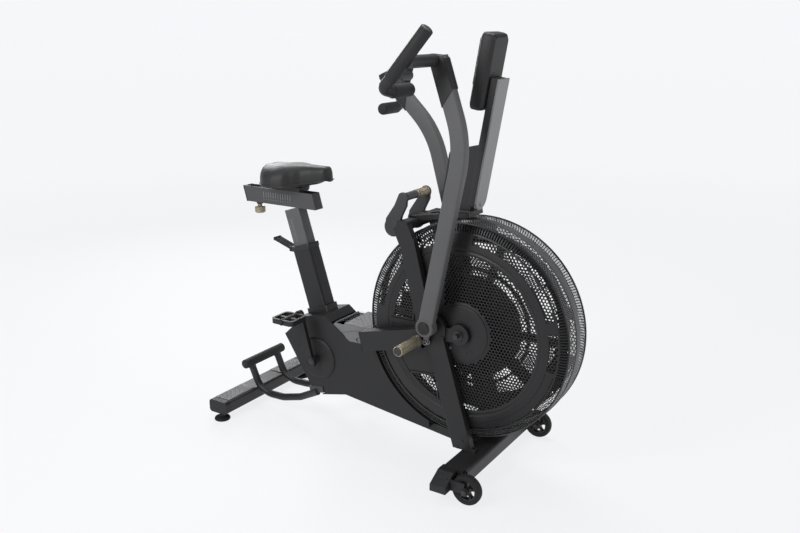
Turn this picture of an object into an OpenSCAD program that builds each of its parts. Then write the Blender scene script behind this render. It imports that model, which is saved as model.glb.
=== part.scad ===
// Air bike: a fan bike with swinging arms, a belt-driven fan in a round guard and an adjustable seat.
// X points forward to the fan, Y to the rider's left, Z up. The origin is on the floor under the fan axle.

/* [Fan and guard] */
// Height of the fan axle above the floor
fan_z = 466; // [420:1:520]
// Outer radius of the round fan guard
guard_r = 350; // [300:1:380]
// Half width of the guard at its rim
guard_half = 66; // [55:1:80]
// How far the side guards bulge out past the rim
guard_bulge = 19; // [8:1:30]
// Outer radius of the fan blades
blade_r = 318; // [260:1:330]
// Number of fan blades
blade_count = 10; // [6:1:16]

/* [Frame] */
// Distance of the rear stabilizer behind the fan axle
rear_x = 912; // [820:1:980]
// Distance of the front stabilizer ahead of the fan axle
front_x = 64; // [30:1:120]
// Half length of the rear stabilizer tube
rear_half = 222; // [180:1:280]
// Half length of the front stabilizer tube
front_half = 225; // [180:1:280]
// Inner face of the side frames
side_in = 92; // [88:1:100]
// Thickness of the side frames
side_t = 24; // [16:1:30]
// Radius of the transport wheels
wheel_r = 48; // [35:1:55]

/* [Crank] */
// Distance of the crank axle behind the fan axle
crank_x = 580; // [520:1:640]
// Height of the crank axle
crank_z = 254; // [230:1:300]
// Crank length from axle to pedal axle
crank_len = 172; // [150:1:180]
// Lean of the raised right crank to the rear, in degrees
crank_lean = 15; // [0:1:90]

/* [Seat] */
// Lean of the seat tube to the rear, in degrees
seat_lean = 17.5; // [10:0.5:22]
// Height of the top of the seat rail beam
beam_z = 830; // [800:1:900]
// Length of the saddle
saddle_len = 282; // [240:1:300]
// Width of the saddle
saddle_w = 212; // [180:1:260]

/* [Arms] */
// Height of the arm pivots
pivot_z = 490; // [470:1:510]
// Distance of the arm pivots behind the fan axle
pivot_x = 90; // [70:1:120]
// Length of the straight lower part of an arm up to its bend point
arm_low = 581; // [520:1:620]
// Length of the upper part of an arm from its bend point
arm_high = 259; // [200:1:300]
// Bend between the two parts, in degrees
arm_bend = 30.2; // [20:0.1:40]
// Forward lean of the right arm as built, in degrees
right_lean = 11.6; // [0:0.1:14]
// Angle between the two arms as built, in degrees
arm_split = 27; // [20:1:30]
// Distance of the handlebar grips from the middle plane
bar_y = 300; // [260:1:320]

/* [Console] */
// Forward lean of the console mast, in degrees
mast_lean = 10; // [5:0.5:15]
// Height of the console housing
console_h = 224; // [180:1:260]
// Width of the console housing
console_w = 104; // [90:1:160]

/* [Hidden] */
$fn = 64;

black = [0.13, 0.13, 0.14];
coat = [0.22, 0.22, 0.23];
khaki = [0.62, 0.58, 0.48];
steel = [0.6, 0.6, 0.62];
rubber = [0.08, 0.08, 0.08];
pale = [0.5, 0.5, 0.51];
cut = 1;

side_out = side_in + side_t;

// ---- general shapes ----

// A rounded rectangle, w wide and h high, centred
module round_rect(w, h, r) {
    square([w - 2 * r, h], center = true);
    square([w, h - 2 * r], center = true);
    for (sx = [-1, 1], sy = [-1, 1]) {
        translate([sx * (w / 2 - r), sy * (h / 2 - r)]) circle(r);
    }
}

// A bar along Y from y0 to y1 with a rounded section, centred on x and z
module bar_y(x, z, w, h, y0, y1, r) {
    translate([x, y1, z]) rotate([90, 0, 0]) linear_extrude(y1 - y0) round_rect(w, h, r);
}

// A round pin along Y
module pin_y(x, z, r, y0, y1) {
    translate([x, y1, z]) rotate([90, 0, 0]) cylinder(h = y1 - y0, r = r);
}

// A flat-sided beam in the side plane from one point to another
module beam(x0, z0, x1, z1, h, y0, y1) {
    reach = norm([x1 - x0, z1 - z0]);
    translate([x0, y0, z0]) rotate([0, -atan2(z1 - z0, x1 - x0), 0]) {
        translate([0, 0, -h / 2]) cube([reach, y1 - y0, h]);
    }
}

// An outline drawn in the side plane, given thickness from y0 to y1
module plate_y(y0, y1) {
    translate([0, y1, 0]) rotate([90, 0, 0]) linear_extrude(y1 - y0) children();
}

// A straight strip of an outline, h high, from one point of the side plane to another
module strip(x0, z0, x1, z1, h) {
    reach = norm([x1 - x0, z1 - z0]);
    translate([x0, z0]) rotate(atan2(z1 - z0, x1 - x0)) translate([0, -h / 2]) square([reach, h]);
}

// A round bar between two points
module round_bar(a, b, r) {
    d = b - a;
    translate(a) rotate([0, acos(d[2] / norm(d)), atan2(d[1], d[0])]) cylinder(h = norm(d), r = r);
}

// Both sides of something drawn on the right-hand side
module both_sides() {
    children();
    mirror([0, 1, 0]) children();
}

// ---- stabilizers, feet and wheels ----

rear_w = 80;
rear_h = 46;
rear_mid_z = 49;
tube_wall = 2.5;
cap_len = 24;
foot_y = rear_half + 11;
foot_x = -rear_x + 8;
stem_r = 5;

module rear_stabilizer() color(coat) difference() {
    bar_y(-rear_x, rear_mid_z, rear_w, rear_h, -rear_half, rear_half, 9);
    bar_y(-rear_x, rear_mid_z, rear_w - 2 * tube_wall, rear_h - 2 * tube_wall,
          -rear_half - cut, rear_half + cut, 6);
}

module rear_end_caps() color(black) both_sides() difference() {
    union() {
        bar_y(-rear_x, rear_mid_z, rear_w + 2, rear_h + 2, -rear_half - cap_len, -rear_half - 0.3, 12);
        bar_y(-rear_x, rear_mid_z, rear_w - 7, rear_h - 7, -rear_half - cut, -rear_half + 16, 6);
    }
    translate([foot_x, -foot_y, 0]) cylinder(h = rear_mid_z + 12, r = stem_r + 0.05);
}

module rear_treads() color(pale) both_sides() {
    tread_z = rear_mid_z + rear_h / 2;
    translate([-rear_x - 31, -rear_half + 2, tread_z]) cube([62, 140, 3]);
    for (row = [0:5], col = [0:2]) {
        translate([-rear_x - 20 + col * 20, -rear_half + 16 + row * 22, tread_z + 2.9])
            rotate([0, 0, 45]) cube([11, 11, 1.4], center = true);
    }
}

module levelling_foot(side) color(rubber) translate([foot_x, side * foot_y, 0]) {
    cylinder(h = 6, r = 28);
    translate([0, 0, 6]) cylinder(h = 6, r1 = 28, r2 = 20);
    translate([0, 0, 12]) cylinder(h = 7, r = 9, $fn = 6);
    cylinder(h = 52, r = stem_r);
}

front_w = 84;
front_h = 50;
front_mid_z = 62;
front_cap_out = 310;
wheel_x = front_x + 61;
wheel_y = 262;
wheel_w = 24;
axle_r = 5;

module front_stabilizer() color(coat) difference() {
    bar_y(front_x, front_mid_z, front_w, front_h, -front_half, front_half, 9);
    bar_y(front_x, front_mid_z, front_w - 2 * tube_wall, front_h - 2 * tube_wall,
          -front_half - cut, front_half + cut, 6);
}

module front_end_caps() color(black) both_sides() {
    top = front_mid_z + front_h / 2;
    low = front_mid_z - front_h / 2;
    translate([front_x - front_w / 2, 0, 0]) rotate([90, 0, 90]) linear_extrude(front_w - 30)
        polygon([[-front_half - 0.3, low], [-front_cap_out, low], [-front_cap_out, low + 22],
                 [-front_half - 34, top], [-front_half - 0.3, top]]);
    bar_y(front_x, front_mid_z, front_w - 8, front_h - 8, -front_half - 4, -front_half + 16, 6);
    for (ear = [wheel_y - wheel_w / 2 - 9, wheel_y + wheel_w / 2 + 2]) difference() {
        union() {
            translate([front_x, -ear - 7, low + 4]) cube([wheel_x - front_x, 7, 34]);
            pin_y(wheel_x, wheel_r, 14, -ear - 7, -ear);
        }
        pin_y(wheel_x, wheel_r, axle_r + 0.02, -ear - 7 - cut, -ear + cut);
    }
    translate([front_x - cut, -front_half - 16, low]) cube([31, 15.7, front_h]);
}

module wheel(side) color(rubber) translate([wheel_x, side * wheel_y, wheel_r]) rotate([90, 0, 0]) {
    rotate_extrude() polygon([
        [wheel_r - 12, -wheel_w / 2], [wheel_r - 3, -wheel_w / 2], [wheel_r, -wheel_w / 2 + 4],
        [wheel_r, wheel_w / 2 - 4], [wheel_r - 3, wheel_w / 2], [wheel_r - 12, wheel_w / 2]]);
    difference() {
        union() {
            cylinder(h = wheel_w, r = 12, center = true);
            for (a = [0:72:359]) rotate([0, 0, a]) translate([0, -4, -7]) cube([wheel_r - 11, 8, 14]);
        }
        cylinder(h = wheel_w + 2, r = axle_r + 0.05, center = true);
    }
}

module wheel_axles() color(steel) both_sides() {
    pin_y(wheel_x, wheel_r, axle_r, -wheel_y - wheel_w / 2 - 14, -wheel_y + wheel_w / 2 + 14);
    pin_y(wheel_x, wheel_r, 8.5, -wheel_y - wheel_w / 2 - 14, -wheel_y - wheel_w / 2 - 9.1);
}

// ---- frame ----

yoke_y = 72;
yoke_r = 13;
lift_x = -900;
lift_z = 170;
yoke_path = [[lift_x, lift_z], [-862, 80], [-812, 61], [-745, 63], [-665, 84], [-585, 124]];

module rear_yoke() color(black) {
    both_sides() for (i = [0:len(yoke_path) - 2]) {
        a = yoke_path[i];
        b = yoke_path[i + 1];
        round_bar([a[0], -yoke_y, a[1]], [b[0], -yoke_y, b[1]], yoke_r);
        translate([b[0], -yoke_y, b[1]]) sphere(yoke_r + 0.3, $fn = 32);
    }
    pin_y(lift_x, lift_z, 17, -108, 108);
}

spine_half = 28;

module frame_spine() color(coat) {
    difference() {
        union() {
            plate_y(-spine_half, spine_half) {
                strip(-640, 138, -330, 176, 46);
                strip(-crank_x, crank_z - 6, -560, 150, 60);
                strip(-590, 190, -430, 300, 40);
                strip(-430, 150, jack_x - 6, jack_z - 8, 40);
                translate([jack_x, jack_z]) circle(22);
            }
            pin_y(-crank_x, crank_z, 30, -34, 34);
        }
        pin_y(jack_x, jack_z, 8.05, -spine_half - cut, spine_half + cut);
        pin_y(-crank_x, crank_z, 20, -34 - cut, 34 + cut);
    }
    both_sides() beam(-620, 126, -560, 138, 24, -yoke_y - 2, -spine_half + cut);
}

rail_half = 40;

module main_rail() color(coat) {
    beam(-560, 148, front_x - 26, 74, 30, -rail_half, rail_half);
}

// The seat tube frame: the axis runs up from the spine
seat_foot = [-560, 258];
seat_up = [-sin(seat_lean), cos(seat_lean)];
sleeve_from = 70;
sleeve_to = 402;
function on_seat(s) = [seat_foot[0] + seat_up[0] * s, seat_foot[1] + seat_up[1] * s];

// A tube along the seat axis, between two distances from its foot
module seat_box(s0, s1, w, d, r) {
    p = on_seat(s0);
    translate([p[0], 0, p[1]]) rotate([0, -seat_lean, 0]) linear_extrude(s1 - s0) round_rect(w, d, r);
}

latch_reach = 63;
post_w = 66;
post_d = 46;

module seat_tube() color(coat) difference() {
    union() {
        seat_box(sleeve_from, sleeve_to, 78, 58, 7);
        seat_box(sleeve_from - 20, 176, 96, 64, 9);
        seat_box(sleeve_to - 16, sleeve_to, 82, 62, 8);
        both_sides() translate([latch_at[0] - latch_reach, -19.5, latch_at[1] - 9])
            cube([latch_reach, 4, 18]);
    }
    pin_y(latch_at[0] - latch_reach + 8, latch_at[1], 3, -25, 25);
    seat_box(0, sleeve_to + cut, post_w + 1, post_d + 1, 5);
}

step_front = -356;
step_rear = -500;
step_top = 409;
step_half = 70;
jack_x = -405;
jack_z = 358;

module step_housing() color(pale) {
    difference() {
        translate([step_rear, -step_half, 352]) cube([step_front - step_rear, 2 * step_half, step_top - 352]);
        translate([step_rear + 3, -step_half + 3, 351]) {
            cube([step_front - step_rear + 3, 2 * step_half - 6, step_top - 354]);
        }
        translate([step_rear - 10, -step_half - cut, 330]) rotate([0, 32, 0]) {
            translate([-60, 0, 0]) cube([60, 2 * step_half + 2, 130]);
        }
    }
    difference() {
        both_sides() translate([0, -step_half, 0]) rotate([90, 0, 0]) linear_extrude(4)
            polygon([[-470, 372], [-356, 402], [-352, 322], [-395, 318], [-432, 330]]);
        pin_y(jack_x, jack_z, 7, -step_half - 4 - cut, step_half + 4 + cut);
    }
}

leg_top = [-86, 430];
leg_foot = [32, 72];
strut_top = [-186, 748];

// One side frame: the leg down to the front stabilizer, the strut up to the bridge and the rear arm
module side_frame() color(coat) difference() {
    plate_y(-side_out, -side_in) {
        strip(leg_top[0], leg_top[1] + 30, leg_foot[0], leg_foot[1], 66);
        strip(leg_top[0] - 20, leg_top[1] + 10, strut_top[0], strut_top[1], 56);
        strip(strut_top[0], strut_top[1] - 8, strut_top[0] - 24, strut_top[1] + 44, 56);
        translate([leg_top[0], pivot_z - 18]) circle(44);
        strip(-330, 388, leg_top[0], 446, 40);
        strip(leg_foot[0] - 34, 92, leg_foot[0] + 40, 92, 10);
    }
    pin_y(-pivot_x, pivot_z, 10, -side_out - cut, -side_in + cut);
    translate([0, 0, fan_z]) rotate([90, 0, 0]) cylinder(h = 300, r = 9, center = true);
    translate([-200, -side_out - cut, 0]) cube([400, side_t + 2, 87.3]);
}

// The hub end of the side frame reaches the fan axle
module hub_arm() color(coat) difference() {
    plate_y(-side_in - 14, -side_in) {
        strip(leg_top[0], 452, 0, fan_z, 46);
        translate([0, fan_z]) circle(34);
    }
    pin_y(0, fan_z, 8.02, -side_in - 20, -side_in + cut);
}

module side_frame_right() {
    side_frame();
    hub_arm();
}

cover_rear = [-352, 383];
cover_front = [-122, 438];

module rod_cover() color(black) difference() {
    beam(cover_rear[0], cover_rear[1], cover_front[0], cover_front[1], 66, -side_out - 18, -side_in + 4);
    beam(cover_rear[0] - 20, cover_rear[1] - 5, cover_front[0] + 20, cover_front[1] + 5, 58,
         -side_out - 15, -side_in + 10);
}

bridge_t = 16;
bridge_x = -200;
bridge_z = 790;
ear_y = 48;

module top_bridge() color(coat) {
    bar_y(bridge_x, bridge_z, 40, 30, -side_out, side_out, 8);
    difference() {
        beam(-216, 800, -4, 834.5, bridge_t, -46, 46);
        translate([-150, 0, 700]) cylinder(h = 200, r = 14);
    }
    for (side = [-1, 1]) difference() {
        plate_y(side * ear_y - 5, side * ear_y + 5) {
            strip(bridge_x, bridge_z, lever_x, lever_z, 30);
            translate([lever_x, lever_z]) circle(20);
        }
        pin_y(lever_x, lever_z, 9.05, side * ear_y - 6, side * ear_y + 6);
    }
    for (x = [-120, -90]) translate([x, -18, 808]) cylinder(h = 20, r = 7);
}

// ---- shroud ----

shroud_half = 74;
shroud_wall = 3;
hug_r = guard_r + 6;
shroud_outline = concat(
    [[-726, 318], [-690, 352], [-652, 398], [-546, 420], [-498, 384], [-440, 346]],
    [for (a = [199:3:250]) [hug_r * cos(a), fan_z + hug_r * sin(a)]],
    [[-120, 108], [-430, 150], [-560, 120], [-600, 122]]);

module shroud(side) color(black) {
    difference() {
        translate([0, side < 0 ? 0 : shroud_half, 0]) rotate([90, 0, 0])
            linear_extrude(shroud_half) polygon(shroud_outline);
        translate([0, side < 0 ? 1 : shroud_half - shroud_wall, 0]) rotate([90, 0, 0])
            linear_extrude(shroud_half - shroud_wall + 1) offset(delta = -shroud_wall)
            polygon(shroud_outline);
        pin_y(-crank_x, crank_z, 18, -shroud_half - cut, shroud_half + cut);
        translate([0, -step_half - 0.3, 0]) beam(-520, 400, -300, 400, 110, 0, 2 * step_half + 0.6);
        seat_box(0, 300, 86, 62, 9);
        beam(-420, 366, -300, 392, 130, -62, 62);
        beam(-450, 340, -356, 340, 24, -66, 66);
        beam(-660, 136, -320, 177, 50, -spine_half - 1, spine_half + 1);
        beam(-570, 149, 60, 71, 34, -rail_half - 2, rail_half + 2);
        both_sides() beam(-660, 112, -555, 138, 30, -yoke_y - 4, -spine_half);
    }
}

// ---- fan guard ----

// A ring of section w by t, standing at radius r, drawn about the fan axle
module ring_y(r, w, y0, y1) {
    translate([0, y1, fan_z]) rotate([90, 0, 0]) rotate_extrude($fn = 96)
        translate([r - w / 2, 0]) square([w, y1 - y0]);
}

hole_r = 9;
hole_pitch = 34;
face_y = guard_half + guard_bulge;
boss_r = 92;

module cage_side() color(black) {
    difference() {
        translate([0, -guard_half, fan_z]) rotate([90, 0, 0]) rotate_extrude($fn = 96) polygon([
            [guard_r - 1, 0], [guard_r - 1, 6], [guard_r - 12, 9], [272, guard_bulge], [boss_r, guard_bulge],
            [boss_r, guard_bulge - 2], [271, guard_bulge - 2], [guard_r - 13, 7], [guard_r - 5, 4],
            [guard_r - 5, 0]]);
        for (r = [boss_r + 26:hole_pitch:264]) {
            count = round(2 * PI * r / hole_pitch);
            for (i = [0:count - 1]) rotate_about_fan(i * 360 / count)
                translate([r, -face_y - 2, 0]) rotate([-90, 0, 0]) cylinder(h = 6, r = hole_r, $fn = 6);
        }
        for (i = [0:71]) rotate_about_fan(i * 5)
            translate([286, -face_y - 2, -4]) cube([44, guard_bulge + 4, 8]);
    }
    for (a = [0:45:359]) rotate_about_fan(a + 10)
        translate([boss_r, -face_y - 3, -12]) cube([272 - boss_r, 4, 24]);
}

module rotate_about_fan(a) {
    translate([0, 0, fan_z]) rotate([0, -a, 0]) children();
}

module cage_band() color(black) difference() {
    union() {
        ring_y(guard_r - 1, 2, -guard_half + 0.3, guard_half - 0.3);
        both_sides() ring_y(guard_r - 3, 6, -guard_half + 0.3, -guard_half + 6);
    }
    for (i = [0:35]) rotate_about_fan(i * 10)
        translate([guard_r - 10, -guard_half + 12, -25]) cube([20, 2 * guard_half - 24, 50]);
    rotate_about_fan(194) translate([guard_r - 12, 36, -52]) cube([24, 26, 104]);
}

module hub_cover() color(coat) difference() {
    translate([0, -face_y, fan_z]) rotate([90, 0, 0]) rotate_extrude() polygon([
        [24, 0], [boss_r - 0.5, 0], [boss_r - 0.5, 3], [74, 5], [24, 5]]);
    for (a = [60, 180, 300]) rotate_about_fan(a) pin_y(60, 0, 3, -face_y - 10, -face_y + cut);
}

// ---- fan and drive ----

fan_shaft_r = 8;
blade_half = 40;
rotor_hub_r = 46;
pulley_y = 48;
fan_pulley_r = 22;

module fan_axle() color(steel) {
    pin_y(0, fan_z, fan_shaft_r, -side_out - 12, side_out + 12);
    both_sides() pin_y(0, fan_z, 15, -side_out + 6, -side_out + 12);
}

module fan_rotor() color(black) difference() {
    union() {
        pin_y(0, fan_z, rotor_hub_r, -blade_half, blade_half);
        for (i = [0:blade_count - 1]) rotate_about_fan(i * 360 / blade_count) {
            translate([rotor_hub_r - 4, -blade_half + 6, -1.5])
                cube([blade_r - rotor_hub_r + 4, 2 * blade_half - 12, 3]);
        }
        ring_y(190, 8, -6, 6);
    }
    pin_y(0, fan_z, fan_shaft_r + 0.05, -blade_half - cut, blade_half + cut);
}

module fan_pulley() color(steel) difference() {
    union() {
        pin_y(0, fan_z, fan_pulley_r, blade_half + 0.3, pulley_y + 12);
        pin_y(0, fan_z, fan_pulley_r + 4, pulley_y + 10.5, pulley_y + 12);
    }
    pin_y(0, fan_z, fan_shaft_r + 0.05, blade_half - cut, pulley_y + 13);
}

jack_big_r = 38;
jack_small_r = 22;
drive_r = 78;
belt_t = 2;
belt_w = 8;
first_y = 57;

// An open belt round two pulleys, as the difference of two hulls
module belt(x0, z0, r0, x1, z1, r1, y0) color(rubber) difference() {
    hull() {
        pin_y(x0, z0, r0 + belt_t + 0.4, y0, y0 + belt_w);
        pin_y(x1, z1, r1 + belt_t + 0.4, y0, y0 + belt_w);
    }
    hull() {
        pin_y(x0, z0, r0 + 0.4, y0 - cut, y0 + belt_w + cut);
        pin_y(x1, z1, r1 + 0.4, y0 - cut, y0 + belt_w + cut);
    }
}

module jack_shaft() color(steel) {
    pin_y(jack_x, jack_z, 8, -spine_half - 4, step_half - 4);
    pin_y(jack_x, jack_z, jack_big_r, pulley_y - 0.5, pulley_y + belt_w);
    pin_y(jack_x, jack_z, jack_small_r, first_y - 0.5, first_y + belt_w + 1);
}

module drive_pulley() color(coat) difference() {
    pin_y(-crank_x, crank_z, drive_r, first_y - 0.5, first_y + belt_w + 1);
    pin_y(-crank_x, crank_z, 12, first_y - 2, first_y + belt_w + 3);
    for (a = [0:60:359]) translate([-crank_x, 0, crank_z]) rotate([0, a, 0])
        pin_y(46, 0, 16, first_y - 2, first_y + belt_w + 3);
}

// ---- crank and pedals ----

arm_y = 104;
arm_t = 16;
axle_end = arm_y + arm_t - 2;

module crank_axle() color(steel) {
    pin_y(-crank_x, crank_z, 11.9, -axle_end, axle_end);
}

module crank_bearings() color(steel) both_sides() difference() {
    pin_y(-crank_x, crank_z, 19.9, -36, -22);
    pin_y(-crank_x, crank_z, 12, -37, -21);
}

module crank_discs() color(black) both_sides() {
    translate([-crank_x, -shroud_half - 1, crank_z]) rotate([90, 0, 0])
        rotate_extrude($fn = 96) polygon([[12.2, 0], [76, 0], [76, 2], [70, 5], [30, 7], [12.2, 7]]);
}

// A crank arm on one side; turn is its angle from straight up, leaning to the rear
module crank_arm(side, turn) color(coat) {
    y0 = side < 0 ? -arm_y - arm_t : arm_y;
    translate([-crank_x, 0, crank_z]) rotate([0, -turn, 0]) difference() {
        union() {
            pin_y(0, 0, 20, y0, y0 + arm_t);
            beam(0, 0, 0, crank_len, 26, y0 + 1, y0 + arm_t - 1);
            pin_y(0, crank_len, 15, y0, y0 + arm_t);
        }
        pin_y(0, 0, 12, y0 - cut, y0 + arm_t + cut);
    }
    inner = arm_y + 1;
    outer = arm_y + arm_t + 96;
    translate([-crank_x, 0, crank_z]) rotate([0, -turn, 0])
        pin_y(0, crank_len, 7, side < 0 ? -outer : inner, side < 0 ? -inner : outer);
}

pedal_len = 92;
pedal_w = 88;
pedal_h = 18;

module pedal(side, turn) color(black) {
    px = -crank_x - crank_len * sin(turn);
    pz = crank_z + crank_len * cos(turn);
    py = side * (arm_y + arm_t + 4 + pedal_w / 2);
    translate([px, py, pz]) difference() {
        union() {
            rotate([90, 0, 0]) cylinder(h = pedal_w, r = 11, center = true);
            difference() {
                linear_extrude(pedal_h, center = true) round_rect(pedal_len, pedal_w, 16);
                linear_extrude(pedal_h + 2, center = true) round_rect(pedal_len - 18, pedal_w - 18, 9);
            }
            cube([pedal_len - 10, 12, pedal_h - 6], center = true);
        }
        rotate([90, 0, 0]) cylinder(h = pedal_w + 2, r = 7.05, center = true);
    }
}

// ---- swinging arms ----

arm_in = 135;
arm_w = 30;
arm_d = 50;
bend_r = 300;
pivot_r = 10;
lever_drop = 60;
tangent = bend_r * tan(arm_bend / 2);

// One arm drawn from its pivot, straight up, on the right-hand side
module arm_shape() {
    mid = -arm_in - arm_w / 2;
    straight = arm_low - tangent;
    difference() {
        union() {
            translate([-arm_d / 2, mid - arm_w / 2, 0]) cube([arm_d, arm_w, straight]);
            translate([-bend_r, mid, straight]) rotate([90, 0, 0]) rotate_extrude(angle = arm_bend, $fn = 180)
                translate([bend_r, 0]) square([arm_d, arm_w], center = true);
            translate([-bend_r + bend_r * cos(arm_bend), mid, straight + bend_r * sin(arm_bend)])
                rotate([0, -arm_bend, 0]) translate([0.1 - arm_d / 2, 0.1 - arm_w / 2, -2])
                cube([arm_d - 0.2, arm_w - 0.2, arm_high - tangent + 2]);
            pin_y(0, 0, 30, -arm_in - arm_w, -arm_in + 4);
            beam(0, 0, 0, -lever_drop, 19, -arm_in, -arm_in + 7);
            pin_y(0, -lever_drop, 10, -arm_in + 0.5, -arm_in + 7.5);
        }
        pin_y(0, 0, pivot_r + 0.05, -arm_in - arm_w - cut, -arm_in + 8);
    }
}

module arm_frame(lean) {
    translate([-pivot_x, 0, pivot_z]) rotate([0, lean, 0]) children();
}

arm_end = [-bend_r + bend_r * cos(arm_bend) - (arm_high - tangent) * sin(arm_bend),
           arm_low - tangent + bend_r * sin(arm_bend) + (arm_high - tangent) * cos(arm_bend)];
bar_r = 16;
grip_r = 18;

// The handlebar of one arm: a tube out to the side, a slanted grip and an inward grip
module bar_shape() {
    far = -bar_y;
    high = [arm_end[0] + 35, far, arm_end[1] + 89];
    low = [arm_end[0] - 69, far, arm_end[1] - 95];
    pin_y(arm_end[0] - 6, arm_end[1] - 8, bar_r, far, -arm_in + 14);
    round_bar(low, high, bar_r + 0.5);
    translate(low) sphere(bar_r + 1.1);
    round_bar(low, low + [2, 18, -12], bar_r + 0.5);
    translate(low + [2, 18, -12]) sphere(grip_r + 0.4);
    round_bar(low + [2, 18, -12], low + [6, 134, -12], grip_r);
}

module connecting_rod(lean) color(steel) {
    pin = [-pivot_x - lever_drop * sin(lean), pivot_z - lever_drop * cos(lean)];
    difference() {
        union() {
            pin_y(pin[0], pin[1], 11, -arm_in + 8, -arm_in + 15);
            beam(pin[0] - 250, pin[1] - 60, pin[0], pin[1], 12, -arm_in + 8, -arm_in + 14);
        }
        pin_y(pin[0], pin[1], 5, -arm_in + 7, -arm_in + 16);
    }
}

module arm_pivots() color(steel) both_sides() {
    pin_y(-pivot_x, pivot_z, pivot_r - 0.02, -arm_in - arm_w - 3, -side_in);
    pin_y(-pivot_x, pivot_z, 15, -arm_in - arm_w - 6, -arm_in - arm_w - 0.5);
}

peg_x = -132;
peg_z = 432;

module foot_pegs() color(khaki) both_sides() difference() {
    pin_y(peg_x, peg_z, 17, -250, -side_out - 18.3);
    pin_y(peg_x, peg_z, 7, -251, -244);
}

// ---- rest lever on the bridge ----

lever_x = -257;
lever_z = 773;
lever_rise = [36, 96];

module rest_lever() color(coat) {
    pin_y(lever_x, lever_z, 9, -86, 68);
    for (y = [-84, 56]) {
        pin_y(lever_x, lever_z, 32, y, y + 12);
        beam(lever_x, lever_z, lever_x + lever_rise[0], lever_z + lever_rise[1], 40, y, y + 12);
        pin_y(lever_x + lever_rise[0], lever_z + lever_rise[1], 20, y, y + 12);
    }
    pin_y(lever_x + lever_rise[0] + 6, lever_z + lever_rise[1] + 4, 9, -84, 74);
}

module rest_grip() color(khaki) difference() {
    pin_y(lever_x + lever_rise[0] + 6, lever_z + lever_rise[1] + 4, 14, -16, 55);
    pin_y(lever_x + lever_rise[0] + 6, lever_z + lever_rise[1] + 4, 9, -17, 56);
}

// ---- seat ----

post_from = 250;
post_to = 534;

module seat_post() color(coat) difference() {
    seat_box(post_from, post_to, post_w, post_d, 5);
    for (s = [post_from + 60:25:post_to - 60]) {
        p = on_seat(s);
        translate([p[0], 0, p[1]]) rotate([0, -90 - seat_lean, 0]) cylinder(h = 40, r = 5);
    }
}

latch_at = on_seat(sleeve_to - 22);

module seat_latch() color(black) {
    translate([latch_at[0] - latch_reach + 8, 0, latch_at[1]]) {
        rotate([90, 0, 0]) cylinder(h = 30, r = 8, center = true);
        rotate([90, 0, 0]) cylinder(h = 42, r = 2.95, center = true);
        beam(-2, 0, -78, 26, 12, -14, 14);
        translate([-78, 0, 26]) rotate([90, 0, 0]) cylinder(h = 30, r = 7, center = true);
    }
}

beam_rear = -938;
beam_front = -628;
beam_h = 56;
beam_half = 22;
beam_slant = 16;

function beam_x(end, z) = end + beam_slant * (beam_z - z) / beam_h;

// The side of the beam between two heights, its slanted ends moved in by a wall
module beam_side(low, high, wall) {
    rear = beam_rear + wall;
    front = beam_front - wall;
    polygon([[beam_x(rear, low), low], [beam_x(front, low), low],
             [beam_x(front, high), high], [beam_x(rear, high), high]]);
}

module seat_beam() color(coat) difference() {
    plate_y(-beam_half, beam_half) beam_side(beam_z - beam_h, beam_z, 0);
    plate_y(-beam_half + 4, beam_half - 4) beam_side(beam_z - beam_h + 8, beam_z + cut, 5);
    translate([-884, 0, beam_z - beam_h - cut]) cylinder(h = 20, r = 6.05);
}

slider_z = beam_z - beam_h + 9;

module seat_slider() color(black) {
    translate([-800, -beam_half + 5, slider_z]) cube([132, 2 * beam_half - 10, beam_h - 8]);
    translate([-790, -26, beam_z + 0.5]) cube([112, 52, 15.5]);
}

module seat_knob() color(khaki) translate([-884, 0, 0]) {
    translate([0, 0, 734]) cylinder(h = 22, r = 19);
    translate([0, 0, 756]) cylinder(h = 38, r = 6);
}

saddle_rear = -836;
saddle_z = 860;

// The outline of the saddle from above: a wide back that narrows to the nose
module saddle_plan(grow) {
    half = saddle_w / 2;
    hull() {
        for (side = [-1, 1]) translate([saddle_rear + 54, side * (half - 52)]) circle(52 + grow, $fn = 48);
        translate([saddle_rear + 150, 0]) circle(52 + grow, $fn = 48);
        translate([saddle_rear + saddle_len - 28, 0]) circle(27 + grow, $fn = 48);
    }
}

module saddle_pan() color(black) {
    translate([0, 0, saddle_z - 8]) linear_extrude(8) saddle_plan(-3);
    both_sides() plate_y(-27, -19) {
        strip(-810, saddle_z - 4, -784, beam_z + 21, 8);
        strip(-786, beam_z + 21, -698, beam_z + 21, 8);
        strip(-700, beam_z + 21, -640, saddle_z - 4, 8);
    }
    translate([-760, -24, beam_z + 16.3]) cube([60, 48, 8]);
}

module saddle_cushion() color(rubber) translate([0, 0, saddle_z]) {
    linear_extrude(42) saddle_plan(0);
    translate([0, 0, 42]) linear_extrude(14) saddle_plan(-10);
    translate([0, 0, 56]) linear_extrude(8) saddle_plan(-22);
}

// ---- console ----

mast_foot = [-6, 846];
mast_len = 404;
mast_w = 72;
mast_t = 30;

module mast_frame() {
    translate([mast_foot[0], 0, mast_foot[1]]) rotate([0, mast_lean, 0]) children();
}

module console_mast() color(coat) {
    mast_frame() translate([0, 0, mast_len / 2]) cube([mast_t, mast_w, mast_len], center = true);
    mast_frame() plate_y(-12, 12)
        polygon([[-12, -8], [-60, -16], [-118, 24], [-118, 146], [-104, 162], [-12, 204]]);
    translate([-72, -34, 830]) cube([68, 68, 14]);
}

console_t = 46;
console_up = 302;

module console_frame() {
    mast_frame() translate([-mast_t / 2 - console_t / 2 - 0.3, 0, console_up]) children();
}

module console() color(black) console_frame() difference() {
    rotate([90, 0, 90]) linear_extrude(console_t, center = true) translate([0, console_h / 2])
        round_rect(console_w, console_h, 12);
    translate([-console_t / 2 - cut, -console_w / 2 + 10, 70]) cube([3.5, console_w - 20, console_h - 90]);
}

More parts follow.
